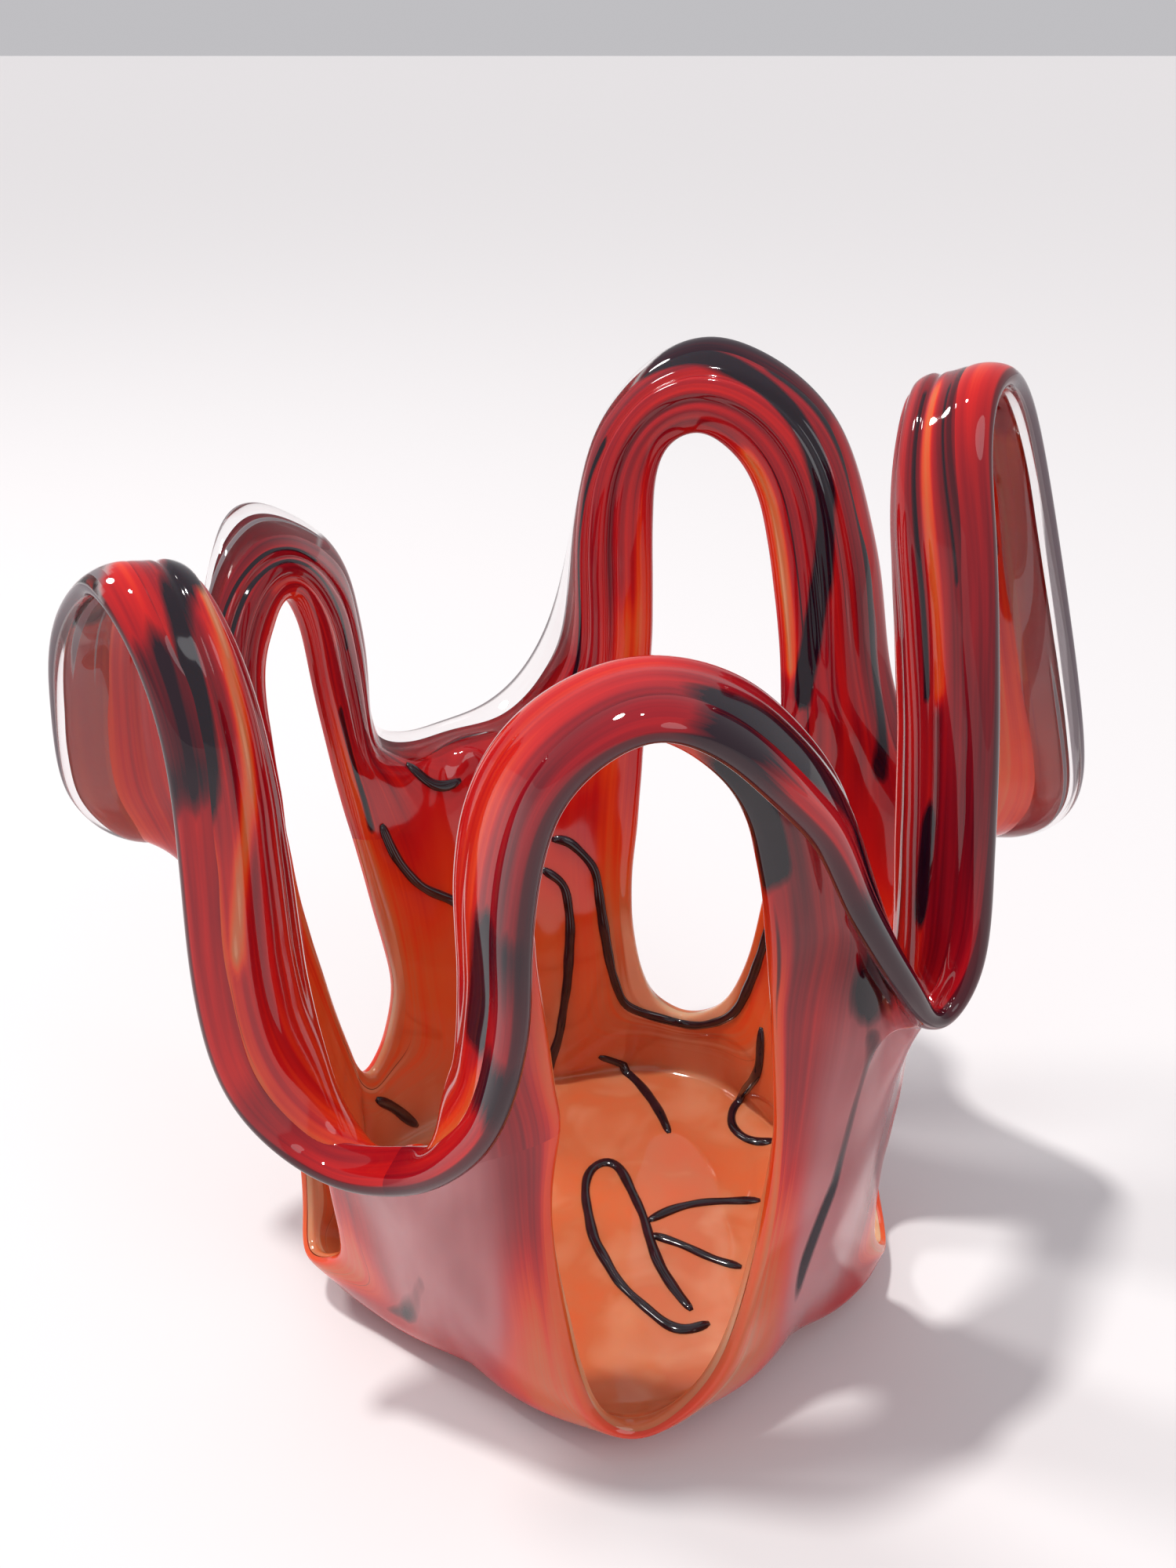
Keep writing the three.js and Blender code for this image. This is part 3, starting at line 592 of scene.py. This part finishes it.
WARM_CASING = [
    (FRONT, [[6.5, 3.2], [9.5, 3.9], [12.0, 3.6]], 0.9, 0.15),
    (FRONT, [[28.5, 1.2], [31.0, 1.4], [33.5, 1.2]], 1.7, 0.45),
    (LEFT, [[28.5, 0.6], [33.0, 0.6]], 1.2, 0.36), (RIGHT, [[14.0, 4.9], [18.5, 4.7]], 0.3, 0.42),
    (RIGHT, [[29.0, 0.5], [33.0, 0.5]], 0.9, 0.22), (LEFT, [[16.0, 4.9], [20, 4.7]], 0.5, 0.20),
    (BACK_RIGHT, [[29.0, 0.6], [34.0, 0.6]], 1.2, 0.25),
    (BACK_LEFT, [[29.0, 0.6], [34.0, 0.6]], 1.2, 0.22),
    # Partly painted glow: the broad bands on the far straps of the left lobe (this line) and the
    # right lobe (next line) make the ruby's own red brighter, standing in for light shining through
    # the strap from behind.
    (BACK_RIGHT, [[14.0, 1.2], [20.0, 1.6]], 0.6, 0.20), (LEFT, [[2.0, 4.4], [9.5, 4.2]], 1.6, 0.25),
    (RIGHT, [[13.5, 3.6], [21.5, 3.8]], 1.8, 0.28), (FRONT, [[30.0, 3.4], [32.0, 3.0]], 0.8, 0.15),
]
WARM_LINING = [
    (LEFT, [[12.4, 2.2], [14.0, 2.7], [15.5, 3.1], [16.9, 3.8], [18.2, 4.2]], 0.30, 0.52),
    (LEFT, [[16.8, 4.9], [20.5, 4.8]], 0.45, 0.22),
    (RIGHT, [[11.4, 3.8], [9.2, 3.7], [7.0, 3.7]], 0.24, 0.50),
    (RIGHT, [[8.0, 1.2], [3.0, 1.2]], 0.3, 0.25),
    (BACK_RIGHT, [[10.0, 0.3], [8.5, 0.4], [3.2, 0.3]], 0.32, 0.42),
    (BACK_RIGHT, [[19.0, 1.0], [23.0, 1.8]], 0.9, 0.22),
    (FRONT, [[6.5, 3.4], [9.5, 3.8], [12.0, 3.4]], 0.8, 0.18),
    (FRONT, [[2.0, 4.6], [4.0, 4.7]], 0.4, 0.2), (BACK_LEFT, [[9.0, 1.4], [13.0, 1.5]], 0.25, 0.2),
]


def field(streams, lobe, k, s):
    """How much of each smear or glow there is at a place on the wall."""
    out = np.zeros(len(k))
    for where, line, half, strength in streams:
        here = np.nonzero(np.abs(lobe - where) < 0.01)[0]
        if not len(here):
            continue
        at = np.stack([k[here] * 0.8, s[here]], -1)
        pts = np.array(line, float) * (0.8, 1.0)
        best = np.full(len(here), 99.0)
        for p, q in zip(pts, pts[1:]):
            share = np.clip((at - p) @ (q - p) / ((q - p) @ (q - p)), 0, 1)
            best = np.minimum(best, np.linalg.norm(at - p - share[:, None] * (q - p), axis=1))
        out[here] = np.maximum(out[here], strength * np.exp(-(best / half) ** 2.4))
    return out


def paint(mesh, side):
    """Writes where the glass is warm, dark and drawn along a loop, and where a mauve painted
    reflection lies on the webs.
    """
    ids = corner_vertices(mesh)
    co = read_co(mesh)[ids] / MM
    grid, lobe = read_uv(mesh, "grid"), np.round(read_uv(mesh, "tag")[:, 0])
    k, s, z = grid[:, 0], grid[:, 1], co[:, 2]
    along = np.zeros(len(k))
    for i in range(5):
        here = lobe == i
        along[here] = np.interp(k[here], np.arange(AROUND + 1), LOBES[i]["along"])
    web = smooth(22, 26, k) + (1 - smooth(-1, 2, k))
    web = np.clip(web * smooth(0.6, 3.0, s) + (lobe < 0), 0, 1)
    flow = np.stack([along * MM, s * 0.013, lobe * 0.37], -1)
    if side > 0:
        heat = np.interp(z, [0, 25, 80, 125, 170, 300], [0.90, 0.86, 0.70, 0.46, 0.34, 0.31])
        edge = 0.30 * np.exp(-((s - 0.1) / 0.45) ** 2)
        dark = field(DARK_LINING, lobe, k, s)
        heat += field(WARM_LINING, lobe, k, s)
    else:
        heat = np.interp(z, [0, 12, 40, 110, 300], [0.55, 0.42, 0.32, 0.31, 0.31])
        edge = 0.30 * np.exp(-((s - 0.0) / 0.35) ** 2)
        dark = field(DARK_CASING, lobe, k, s)
        heat += field(WARM_CASING, lobe, k, s)
    heat = heat + edge * (0.6 + 0.4 * np.sin(k * 0.55 + lobe * 2.1))
    write_vector(mesh, "flow", flow)
    write_float(mesh, "warmth", heat)
    write_float(mesh, "dark", dark)
    write_float(mesh, "web", web)
    # Painted reflection on the outer face of the webs: how much mauve goes over the ruby, none near
    # the floor or the window edge, less on warm glass.
    veil = web * smooth(1.0, 3.2, s) * smooth(10, 30, z) * (1 - 0.5 * smooth(0.34, 0.6, heat))
    write_float(mesh, "veil", veil * (side < 0))


paint(casing.data, -1)
paint(lining.data, 1)


# ---- Materials ------------------------------------------------------------------------------------
class Nodes:
    """A short way to write a material."""

    def __init__(self, name):
        self.material = bpy.data.materials.new(name)
        self.material.use_nodes = True
        self.tree = self.material.node_tree
        self.tree.nodes.clear()
        self.out = self.tree.nodes.new("ShaderNodeOutputMaterial")

    def add(self, kind, inputs=None, **settings):
        node = self.tree.nodes.new(kind)
        for key, value in settings.items():
            setattr(node, key, value)
        for key, value in (inputs or {}).items():
            self.put(node, key, value)
        return node

    def put(self, node, key, value):
        if isinstance(value, bpy.types.NodeSocket):
            self.tree.links.new(value, node.inputs[key])
        else:
            node.inputs[key].default_value = value

    def attribute(self, name, socket="Fac"):
        return self.add("ShaderNodeAttribute", attribute_name=name).outputs[socket]

    def math(self, operation, a, b=0.0, clamp=False):
        node = self.add("ShaderNodeMath", {0: a, 1: b}, operation=operation)
        node.use_clamp = clamp
        return node.outputs[0]

    def ramp(self, fac, stops, interpolation="LINEAR"):
        node = self.add("ShaderNodeValToRGB", {"Fac": fac})
        band = node.color_ramp
        band.interpolation = interpolation
        while len(band.elements) > 1:
            band.elements.remove(band.elements[-1])
        for number, (place, colour) in enumerate(stops):
            element = band.elements[0] if number == 0 else band.elements.new(place)
            element.position = place
            if not isinstance(colour, tuple):
                colour = (colour, colour, colour)
            element.color = (*colour, 1)
        return node.outputs["Color"]

    def mix(self, fac, a, b):
        node = self.add("ShaderNodeMix", data_type="RGBA")
        for key, value in ((0, fac), (6, a), (7, b)):
            if isinstance(value, tuple):
                value = (*value, 1)
            self.put(node, key, value)
        return node.outputs[2]

    def scaled(self, vector, scale):
        return self.add("ShaderNodeVectorMath", {0: vector, 1: scale},
                        operation="MULTIPLY").outputs[0]

    def noise(self, vector, scale=1.0, detail=2.0, rough=0.5, warp=0.0):
        node = self.add("ShaderNodeTexNoise", {"Vector": vector, "Scale": scale,
                        "Detail": detail, "Roughness": rough, "Distortion": warp})
        return node.outputs["Fac"]


# From black through ruby and orange to peach.
HEAT = [(0.0, (0.030, 0.002, 0.006)), (0.16, (0.085, 0.002, 0.008)),
        (0.32, (0.30, 0.004, 0.011)), (0.48, (0.58, 0.010, 0.010)),
        (0.62, (0.80, 0.050, 0.010)), (0.76, (0.76, 0.115, 0.027)),
        (0.88, (0.63, 0.165, 0.065)), (1.0, (0.80, 0.38, 0.22))]


THREAD = 0.735            # noise above this is a black thread


def smear(m, streak):
    """How black the glass is, with the ends of a smear drawn out along the streaks."""
    dark = m.math("ADD", m.attribute("dark"),
                  m.math("MULTIPLY", m.math("SUBTRACT", streak, 0.5), 1.5))
    dark = m.ramp(dark, [(0.0, 0.0), (0.45, 0.0), (0.62, 0.55), (0.85, 1.0)])
    return m.math("MULTIPLY", dark, m.ramp(m.attribute("dark"), [(0.0, 0.0), (0.12, 1.0)]))


def wall_material(name):
    m = Nodes(name)
    flow, web = m.attribute("flow", "Vector"), m.attribute("web")
    place = m.add("ShaderNodeTexCoord").outputs["Object"]
    # On the loops the streaks run along the strap; on the webs they hang downwards.
    along = m.noise(m.scaled(flow, (5.0, 150.0, 9.0)), 1.0, 2.0, 0.5)
    down = m.noise(m.scaled(place, (42.0, 42.0, 7.0)), 1.0, 2.0, 0.5, 0.6)
    streak = m.mix(web, along, down)
    fine_a = m.noise(m.scaled(flow, (9.0, 620.0, 5.0)), 1.0, 1.0, 0.5)
    cloud = m.noise(m.scaled(place, (16.0, 16.0, 16.0)), 1.0, 2.0, 0.5, 0.4)
    heat = m.attribute("warmth")
    reach = m.math("SUBTRACT", 0.62, m.math("MULTIPLY", web, 0.40))
    heat = m.math("ADD", heat, m.math("MULTIPLY", m.math("SUBTRACT", streak, 0.5), reach))
    heat = m.math("ADD", heat, m.math("MULTIPLY", m.math("SUBTRACT", cloud, 0.5), 0.18))
    fine = m.math("MULTIPLY", m.math("SUBTRACT", 1.0, web), 0.16)
    heat = m.math("ADD", heat, m.math("MULTIPLY", m.math("SUBTRACT", fine_a, 0.5), fine))
    colour = m.ramp(heat, HEAT)
    # Painted reflection: on the outer face of the webs the ruby is mixed toward mauve, standing in
    # for the pale table and sky reflected in the glass.
    painted_reflection_mix = m.ramp(m.math("MULTIPLY", m.math("ADD", cloud, streak), 0.5),
                  [(0.32, 0.30), (0.62, 0.88)])
    painted_reflection_mix = m.math("MULTIPLY", m.attribute("veil"), painted_reflection_mix)
    colour = m.mix(painted_reflection_mix, colour, (0.60, 0.25, 0.26))
    # Black threads drawn out along the loops, and the black smears.
    line = m.noise(m.scaled(flow, (5.0, 330.0, 3.0)), 1.0, 1.0, 0.4)
    line = m.ramp(line, [(0.0, 0.0), (THREAD, 0.0), (THREAD + 0.035, 1.0), (1.0, 1.0)])
    line = m.math("MULTIPLY", line, m.math("SUBTRACT", 1.0, web))
    dark = smear(m, streak)
    dark = m.math("MAXIMUM", dark, m.math("MULTIPLY", line, 0.85))
    colour = m.mix(dark, colour, (0.010, 0.003, 0.009))
    rough = m.ramp(cloud, [(0.0, 0.03), (1.0, 0.09)])
    shader = m.add("ShaderNodeBsdfPrincipled", {
        "Base Color": colour, "Roughness": rough, "IOR": 1.5, "Coat Weight": 0.12,
        "Subsurface Weight": 0.4, "Subsurface Radius": (1.0, 0.10, 0.06),
        "Subsurface Scale": 0.012,
        "Coat Roughness": 0.02, "Coat IOR": 1.5, "Specular IOR Level": 0.5})
    m.tree.links.new(shader.outputs[0], m.out.inputs[0])
    return m.material


casing.data.materials.append(wall_material("ruby_glass"))
lining.data.materials.append(wall_material("orange_glass"))


def clear_material():
    m = Nodes("clear_glass")
    flow = m.attribute("flow", "Vector")
    section, bare = m.attribute("section"), m.attribute("bare")
    line = m.noise(m.scaled(flow, (6.0, 420.0, 4.0)), 1.0, 1.0, 0.4)
    line = m.ramp(line, [(0.0, 0.0), (0.63, 0.0), (0.66, 1.0), (1.0, 1.0)])
    rim_line = m.ramp(section, [(0.0, 0.0), (0.90, 0.0), (0.94, 1.0), (1.0, 1.0)])
    mark = m.math("MAXIMUM", m.math("MULTIPLY", line, 0.8), m.math("MULTIPLY", rim_line, 0.9))
    tint = m.noise(m.scaled(flow, (12.0, 150.0, 6.0)), 1.0, 2.0, 0.5)
    tint = m.ramp(tint, [(0.0, (0.95, 0.86, 0.88)), (0.45, (0.99, 0.97, 0.97)),
                         (1.0, (1.0, 0.99, 0.99))])
    clear_colour = m.mix(mark, tint, (0.05, 0.008, 0.03))
    clear = m.math("SUBTRACT", 1.0, m.math("MULTIPLY", mark, 0.92))
    # Where the wrap is thin, the ruby glass shows right out to the rim.
    streak = m.noise(m.scaled(flow, (9.0, 300.0, 9.0)), 1.0, 3.0, 0.6)
    warm = m.math("ADD", m.attribute("warmth"),
                  m.math("MULTIPLY", m.math("SUBTRACT", streak, 0.5), 0.5))
    dark = smear(m, streak)
    ruby = m.mix(dark, m.ramp(warm, HEAT), (0.016, 0.003, 0.010))
    edge_line = m.ramp(section, [(0.0, 0.0), (0.80, 0.0), (0.86, 0.8), (1.0, 0.9)])
    ruby = m.mix(edge_line, ruby, (0.030, 0.004, 0.010))
    colour = m.mix(bare, ruby, clear_colour)
    clear = m.math("MULTIPLY", clear, bare)
    shader = m.add("ShaderNodeBsdfPrincipled", {
        "Base Color": colour, "Roughness": 0.02, "IOR": 1.5, "Transmission Weight": clear})
    m.tree.links.new(shader.outputs[0], m.out.inputs[0])
    return m.material


# ---- Clear wrap along the lip -----------------------------------------------------------------
def lip_wrap():
    """The clear wrap, swept along the lip. Its section runs from inside the wall out to the rim."""
    rows_in = []
    for i, lobe in enumerate(LOBES):
        for k in range(ARCH_STEPS):
            j = lobe["rows"][4][k] if k else webs[i][1]
            rows_in.append(j)
    verts, polys, uv = [], [], []
    section = [(-7.0, 2.2, 0), (-0.5, 3.3, 0), (0.45, 3.45, 1), (0.84, 2.6, 1), (1.0, 0.9, 1)]
    half = len(section)
    total = 2 * half
    dist = np.concatenate([[0], np.cumsum(np.linalg.norm(
        np.roll(lip_outer, -1, 0) - lip_outer, axis=1))])
    for k in range(n_lip):
        j = lip_index[k]
        inner = P[j]
        back = unit(P[rows_in[k]] - inner)
        back_n = unit(N[rows_in[k]] * 0.3 + N[j] * 0.7)
        across = (lip_outer[k] - inner) * 1.02
        along = unit(lip_outer[(k + 1) % n_lip] - lip_outer[k - 1])
        up = N[j] - along * np.dot(N[j], along)
        up = unit(up - unit(across) * np.dot(up, unit(across)))
        for sign in (1, -1):
            part = section if sign > 0 else section[::-1]
            for w, h, outside in part:
                if outside:
                    p = inner + across * w + up * (h * sign)
                else:
                    p = inner - back * w + (back_n if w < -1 else N[j]) * (h * sign)
                verts.append(p)
    for k in range(n_lip):
        m = (k + 1) % n_lip
        for a in range(total):
            b = (a + 1) % total
            polys.append([k * total + b, m * total + b, m * total + a, k * total + a])
            place = [0.0, 0.3, 0.6, 0.85, 1.0, 1.0, 0.85, 0.6, 0.3, 0.0]
            sa, sb = place[a], place[b]
            uv += [(dist[k], sb), (dist[k + 1], sb), (dist[k + 1], sa), (dist[k], sa)]
    obj = new_object("clear_lip_glass", np.array(verts) * MM, polys)
    mesh = subdivided(obj, 3, [("grid", uv)])
    grid = read_uv(mesh, "grid")
    write_vector(mesh, "flow", np.stack([grid[:, 0] * MM, grid[:, 1] * 0.012,
                                         0 * grid[:, 0]], -1))
    write_float(mesh, "section", grid[:, 1])
    k = np.interp(grid[:, 0], dist, np.arange(n_lip + 1))
    lobe = np.floor(k / ARCH_STEPS) % 5
    ring_width = np.append(lip_width, lip_width[0])
    width = np.interp(k, np.arange(n_lip + 1), ring_width)
    ends = np.interp(width, [5.8, 8.6], [1.15, -0.15])
    write_float(mesh, "bare", smooth(-0.12, 0.12, grid[:, 1] - ends))
    local = k - ARCH_STEPS * np.floor(k / ARCH_STEPS)
    # Warm bands at the rim. Among them is the far straps' painted glow.
    warmth_and_glow = field(WARM_CASING, lobe, local, 0 * local + 4.6)
    write_float(mesh, "warmth", 0.30 + 0.10 * np.sin(local * 0.5 + lobe * 2.1) + warmth_and_glow)
    near_rim = 0 * local + 5.0
    black = field(DARK_CASING + DARK_LINING, lobe, local, near_rim)
    write_float(mesh, "dark", np.clip(black * 0.9, 0, 1))
    obj.data.materials.append(clear_material())
    return obj


wrap = lip_wrap()


# ---- Foot pad: the ground flat under the floor ----------------------------------------------
def foot_pad():
    """The pad's outline at five heights, smoothed, with a ground underside."""
    loops = [(0.84, 0.0), (0.885, 0.25), (0.915, 1.4), (0.925, 3.2), (0.90, 5.2)]
    ring_points = outline[:, :2]
    verts = [(x * f, y * f, z) for f, z in loops for x, y in ring_points]
    n = len(ring_points)
    polys = []
    for r in range(len(loops) - 1):
        for k in range(n):
            m = (k + 1) % n
            polys.append([(r + 1) * n + k, (r + 1) * n + m, r * n + m, r * n + k])
    polys.append(list(range(n)))
    polys.append([(len(loops) - 1) * n + k for k in range(n)][::-1])
    obj = new_object("foot_pad_glass", np.array(verts) * MM, polys)
    sharp = obj.data.attributes.new("crease_edge", "FLOAT", "EDGE")
    low = [max(e.vertices) < n for e in obj.data.edges]
    sharp.data.foreach_set("value", np.array(low, np.float32) * 0.7)
    subdivided(obj, 2)
    m = Nodes("ground_foot")
    place = m.add("ShaderNodeTexCoord").outputs["Object"]
    cloud = m.noise(m.scaled(place, (40, 40, 40)), 1.0, 4.0, 0.6, 0.5)
    colour = m.ramp(cloud, [(0.3, (0.20, 0.010, 0.012)), (0.6, (0.42, 0.045, 0.02)),
                            (0.8, (0.55, 0.12, 0.05))])
    height = m.add("ShaderNodeSeparateXYZ", {0: place}).outputs[2]
    matt = m.ramp(m.math("MULTIPLY", height, 1000.0), [(0.0, 0.55), (0.35, 0.5), (0.6, 0.1)])
    grain = m.noise(place, 2400.0, 2.0, 0.6)
    bump = m.add("ShaderNodeBump", {"Height": grain, "Distance": 0.00008,
                                    "Strength": 0.35}).outputs[0]
    shader = m.add("ShaderNodeBsdfPrincipled", {"Base Color": colour, "Roughness": matt,
                   "IOR": 1.5, "Normal": bump})
    m.tree.links.new(shader.outputs[0], m.out.inputs[0])
    obj.data.materials.append(m.material)
    return obj


pad = foot_pad()


# ---- Black trails -------------------------------------------------------------------------------
def on_sheet(point):
    where, u, v = point
    if where == "floor":
        return np.array([u, v, FLOOR_LEVEL + 3]), np.array([0, 0, 1.0])
    rows = LOBES[where]["rows"]
    around = u % AROUND
    k, s = int(around), min(int(v), ACROSS_STEPS - 1)
    a, b = around - k, v - s
    p, n = np.zeros(3), np.zeros(3)
    for dk, ds, w in ((0, 0, (1 - a) * (1 - b)), (1, 0, a * (1 - b)), (0, 1, (1 - a) * b),
                      (1, 1, a * b)):
        j = rows[s + ds][(k + dk) % AROUND]
        p, n = p + target[j] * w, n + N[j] * w
    return p + unit(n) * 3, unit(n)


def trail_material():
    m = Nodes("black_thread_glass")
    place = m.add("ShaderNodeTexCoord").outputs["Object"]
    cloud = m.noise(m.scaled(place, (260, 260, 260)), 1.0, 2.0, 0.5)
    colour = m.ramp(cloud, [(0.3, (0.006, 0.004, 0.006)), (0.75, (0.022, 0.010, 0.018))])
    rough = m.ramp(cloud, [(0.0, 0.08), (1.0, 0.16)])
    shader = m.add("ShaderNodeBsdfPrincipled", {"Base Color": colour, "Roughness": rough,
                   "IOR": 1.5, "Coat Weight": 0.3, "Coat Roughness": 0.03})
    m.tree.links.new(shader.outputs[0], m.out.inputs[0])
    return m.material


def lay_trail(route, tree):
    """The even, smoothed line of a trail on the lining, and the wall's normals along it."""
    dense = []
    for q, point in enumerate(route):
        dense.append(on_sheet(point)[0])
        nxt = route[q + 1] if q + 1 < len(route) else None
        if nxt and nxt[0] == point[0]:
            for f in (0.33, 0.67):
                mid = [point[0]] + [point[c] + (nxt[c] - point[c]) * f for c in (1, 2)]
                dense.append(on_sheet(mid)[0])
    length = sum(np.linalg.norm(b - a) for a, b in zip(dense, dense[1:]))
    count = max(8, int(length / TRAIL_STEP))
    laid, ups = [], []
    for p in open_curve(dense, np.linspace(0, 1, count)):
        hit, normal, _, _ = tree.find_nearest(Vector(p * MM))
        laid.append(np.array(hit) / MM)
        ups.append(np.array(normal))
    laid, ups = np.array(laid), np.array(ups)
    for _ in range(TRAIL_PASSES):
        laid[1:-1] = (laid[:-2] + 2 * laid[1:-1] + laid[2:]) / 4
        ups[1:-1] = (ups[:-2] + 2 * ups[1:-1] + ups[2:]) / 4
    for q, p in enumerate(laid):
        laid[q] = np.array(tree.find_nearest(Vector(p * MM))[0]) / MM
    return laid, ups


def trail_tube(name, laid, ups, wave):
    """A slightly flattened thread of glass of uneven width, with tapered ends."""
    count, sides = len(laid), TRAIL_SIDES
    verts, polys = [], []
    for q in range(count):
        along = unit(laid[min(q + 1, count - 1)] - laid[max(q - 1, 0)])
        up = unit(ups[q] - along * np.dot(ups[q], along))
        sidew = np.cross(along, up)
        end = min(q, count - 1 - q)
        width = TRAIL_HALF_WIDTH * ((0.45, 0.8, 0.95)[end] if end < 3 else 1)
        width *= 1 + 0.10 * math.sin(q * 0.21 + wave) + 0.05 * math.sin(q * 0.83 + 2 * wave)
        for c in range(sides):
            a = 2 * math.pi * c / sides
            lift = 0.62 * math.sin(a) + 0.05
            verts.append(laid[q] + sidew * width * math.cos(a) + up * width * lift)
    for q in range(count - 1):
        for c in range(sides):
            d = (c + 1) % sides
            polys.append([(q + 1) * sides + c, (q + 1) * sides + d, q * sides + d,
                          q * sides + c])
    polys.append(list(range(sides)))
    polys.append([(count - 1) * sides + c for c in range(sides)][::-1])
    obj = new_object(name, np.array(verts) * MM, polys)
    obj.data.shade_smooth()
    return obj


def make_trails():
    mesh = lining.data
    tree = BVHTree.FromPolygons([tuple(v) for v in read_co(mesh)],
                                [tuple(p.vertices) for p in mesh.polygons])
    black = trail_material()
    for t, (name, route) in enumerate(TRAILS.items()):
        obj = trail_tube(name + "_glass", *lay_trail(route, tree), t)
        obj.data.materials.append(black)
        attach(obj, "root")
        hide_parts(name)


make_trails()

for obj, node, slot in ((casing, "ruby_casing", "ruby_casing"),
                        (lining, "orange_lining", "orange_lining"),
                        (wrap, "clear_lip_wrap", "clear_lip_wrap"),
                        (pad, "foot_pad", "foot_pad")):
    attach(obj, "root")
    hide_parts(node)


# ---- Stage, light and camera ----------------------------------------------------------------------
floor = new_object("floor", [(-14, -14, 0), (14, -14, 0), (14, 14, 0), (-14, 14, 0)],
                   [[0, 1, 2, 3]])
m = Nodes("pale_floor")
shader = m.add("ShaderNodeBsdfPrincipled", {"Base Color": (0.78, 0.765, 0.775, 1),
               "Roughness": 0.55, "Specular IOR Level": 0.25})
m.tree.links.new(shader.outputs[0], m.out.inputs[0])
floor.data.materials.append(m.material)

world = bpy.data.worlds.new("studio")
scene.world = world
world.use_nodes = True
back = world.node_tree.nodes["Background"]
back.inputs["Color"].default_value = (0.82, 0.81, 0.84, 1)
back.inputs["Strength"].default_value = 0.64


def area_light(name, place, aim, size, power, colour=(1, 1, 1)):
    data = bpy.data.lights.new(name, "AREA")
    data.shape, data.size, data.energy, data.color = "DISK", size, power, colour
    lamp = bpy.data.objects.new(name, data)
    lamp.location = place
    lamp.rotation_euler = (Vector(aim) - Vector(place)).to_track_quat("-Z", "Y").to_euler()
    scene.collection.objects.link(lamp)
    return lamp


area_light("key", (-1.0, 0.30, 1.5), (0, 0, 0.12), 0.30, 9, (1, 0.98, 0.95))
area_light("fill", (0.9, -1.3, 1.5), (0, 0, 0.12), 1.0, 5, (0.95, 0.97, 1))
sun = bpy.data.lights.new("daylight", "SUN")
sun.energy, sun.angle, sun.color = 1.75, math.radians(4), (1, 0.975, 0.94)
sun_obj = bpy.data.objects.new("daylight", sun)
sun_obj.rotation_euler = (Vector((0.30, 0.05, -1.25))).to_track_quat("-Z", "Y").to_euler()
scene.collection.objects.link(sun_obj)

camera = bpy.data.cameras.new("camera")
camera.lens, camera.sensor_width, camera.sensor_fit = 34.2, 36, "AUTO"
camera.clip_start, camera.clip_end = 0.01, 50
eye = bpy.data.objects.new("camera", camera)
eye.location = (-0.00579, -0.37388, 0.36463)
eye.rotation_euler = (math.radians(62.5), 0, 0)
scene.collection.objects.link(eye)
scene.camera = eye
scene.view_settings.view_transform = "Standard"

bpy.context.view_layer.update()
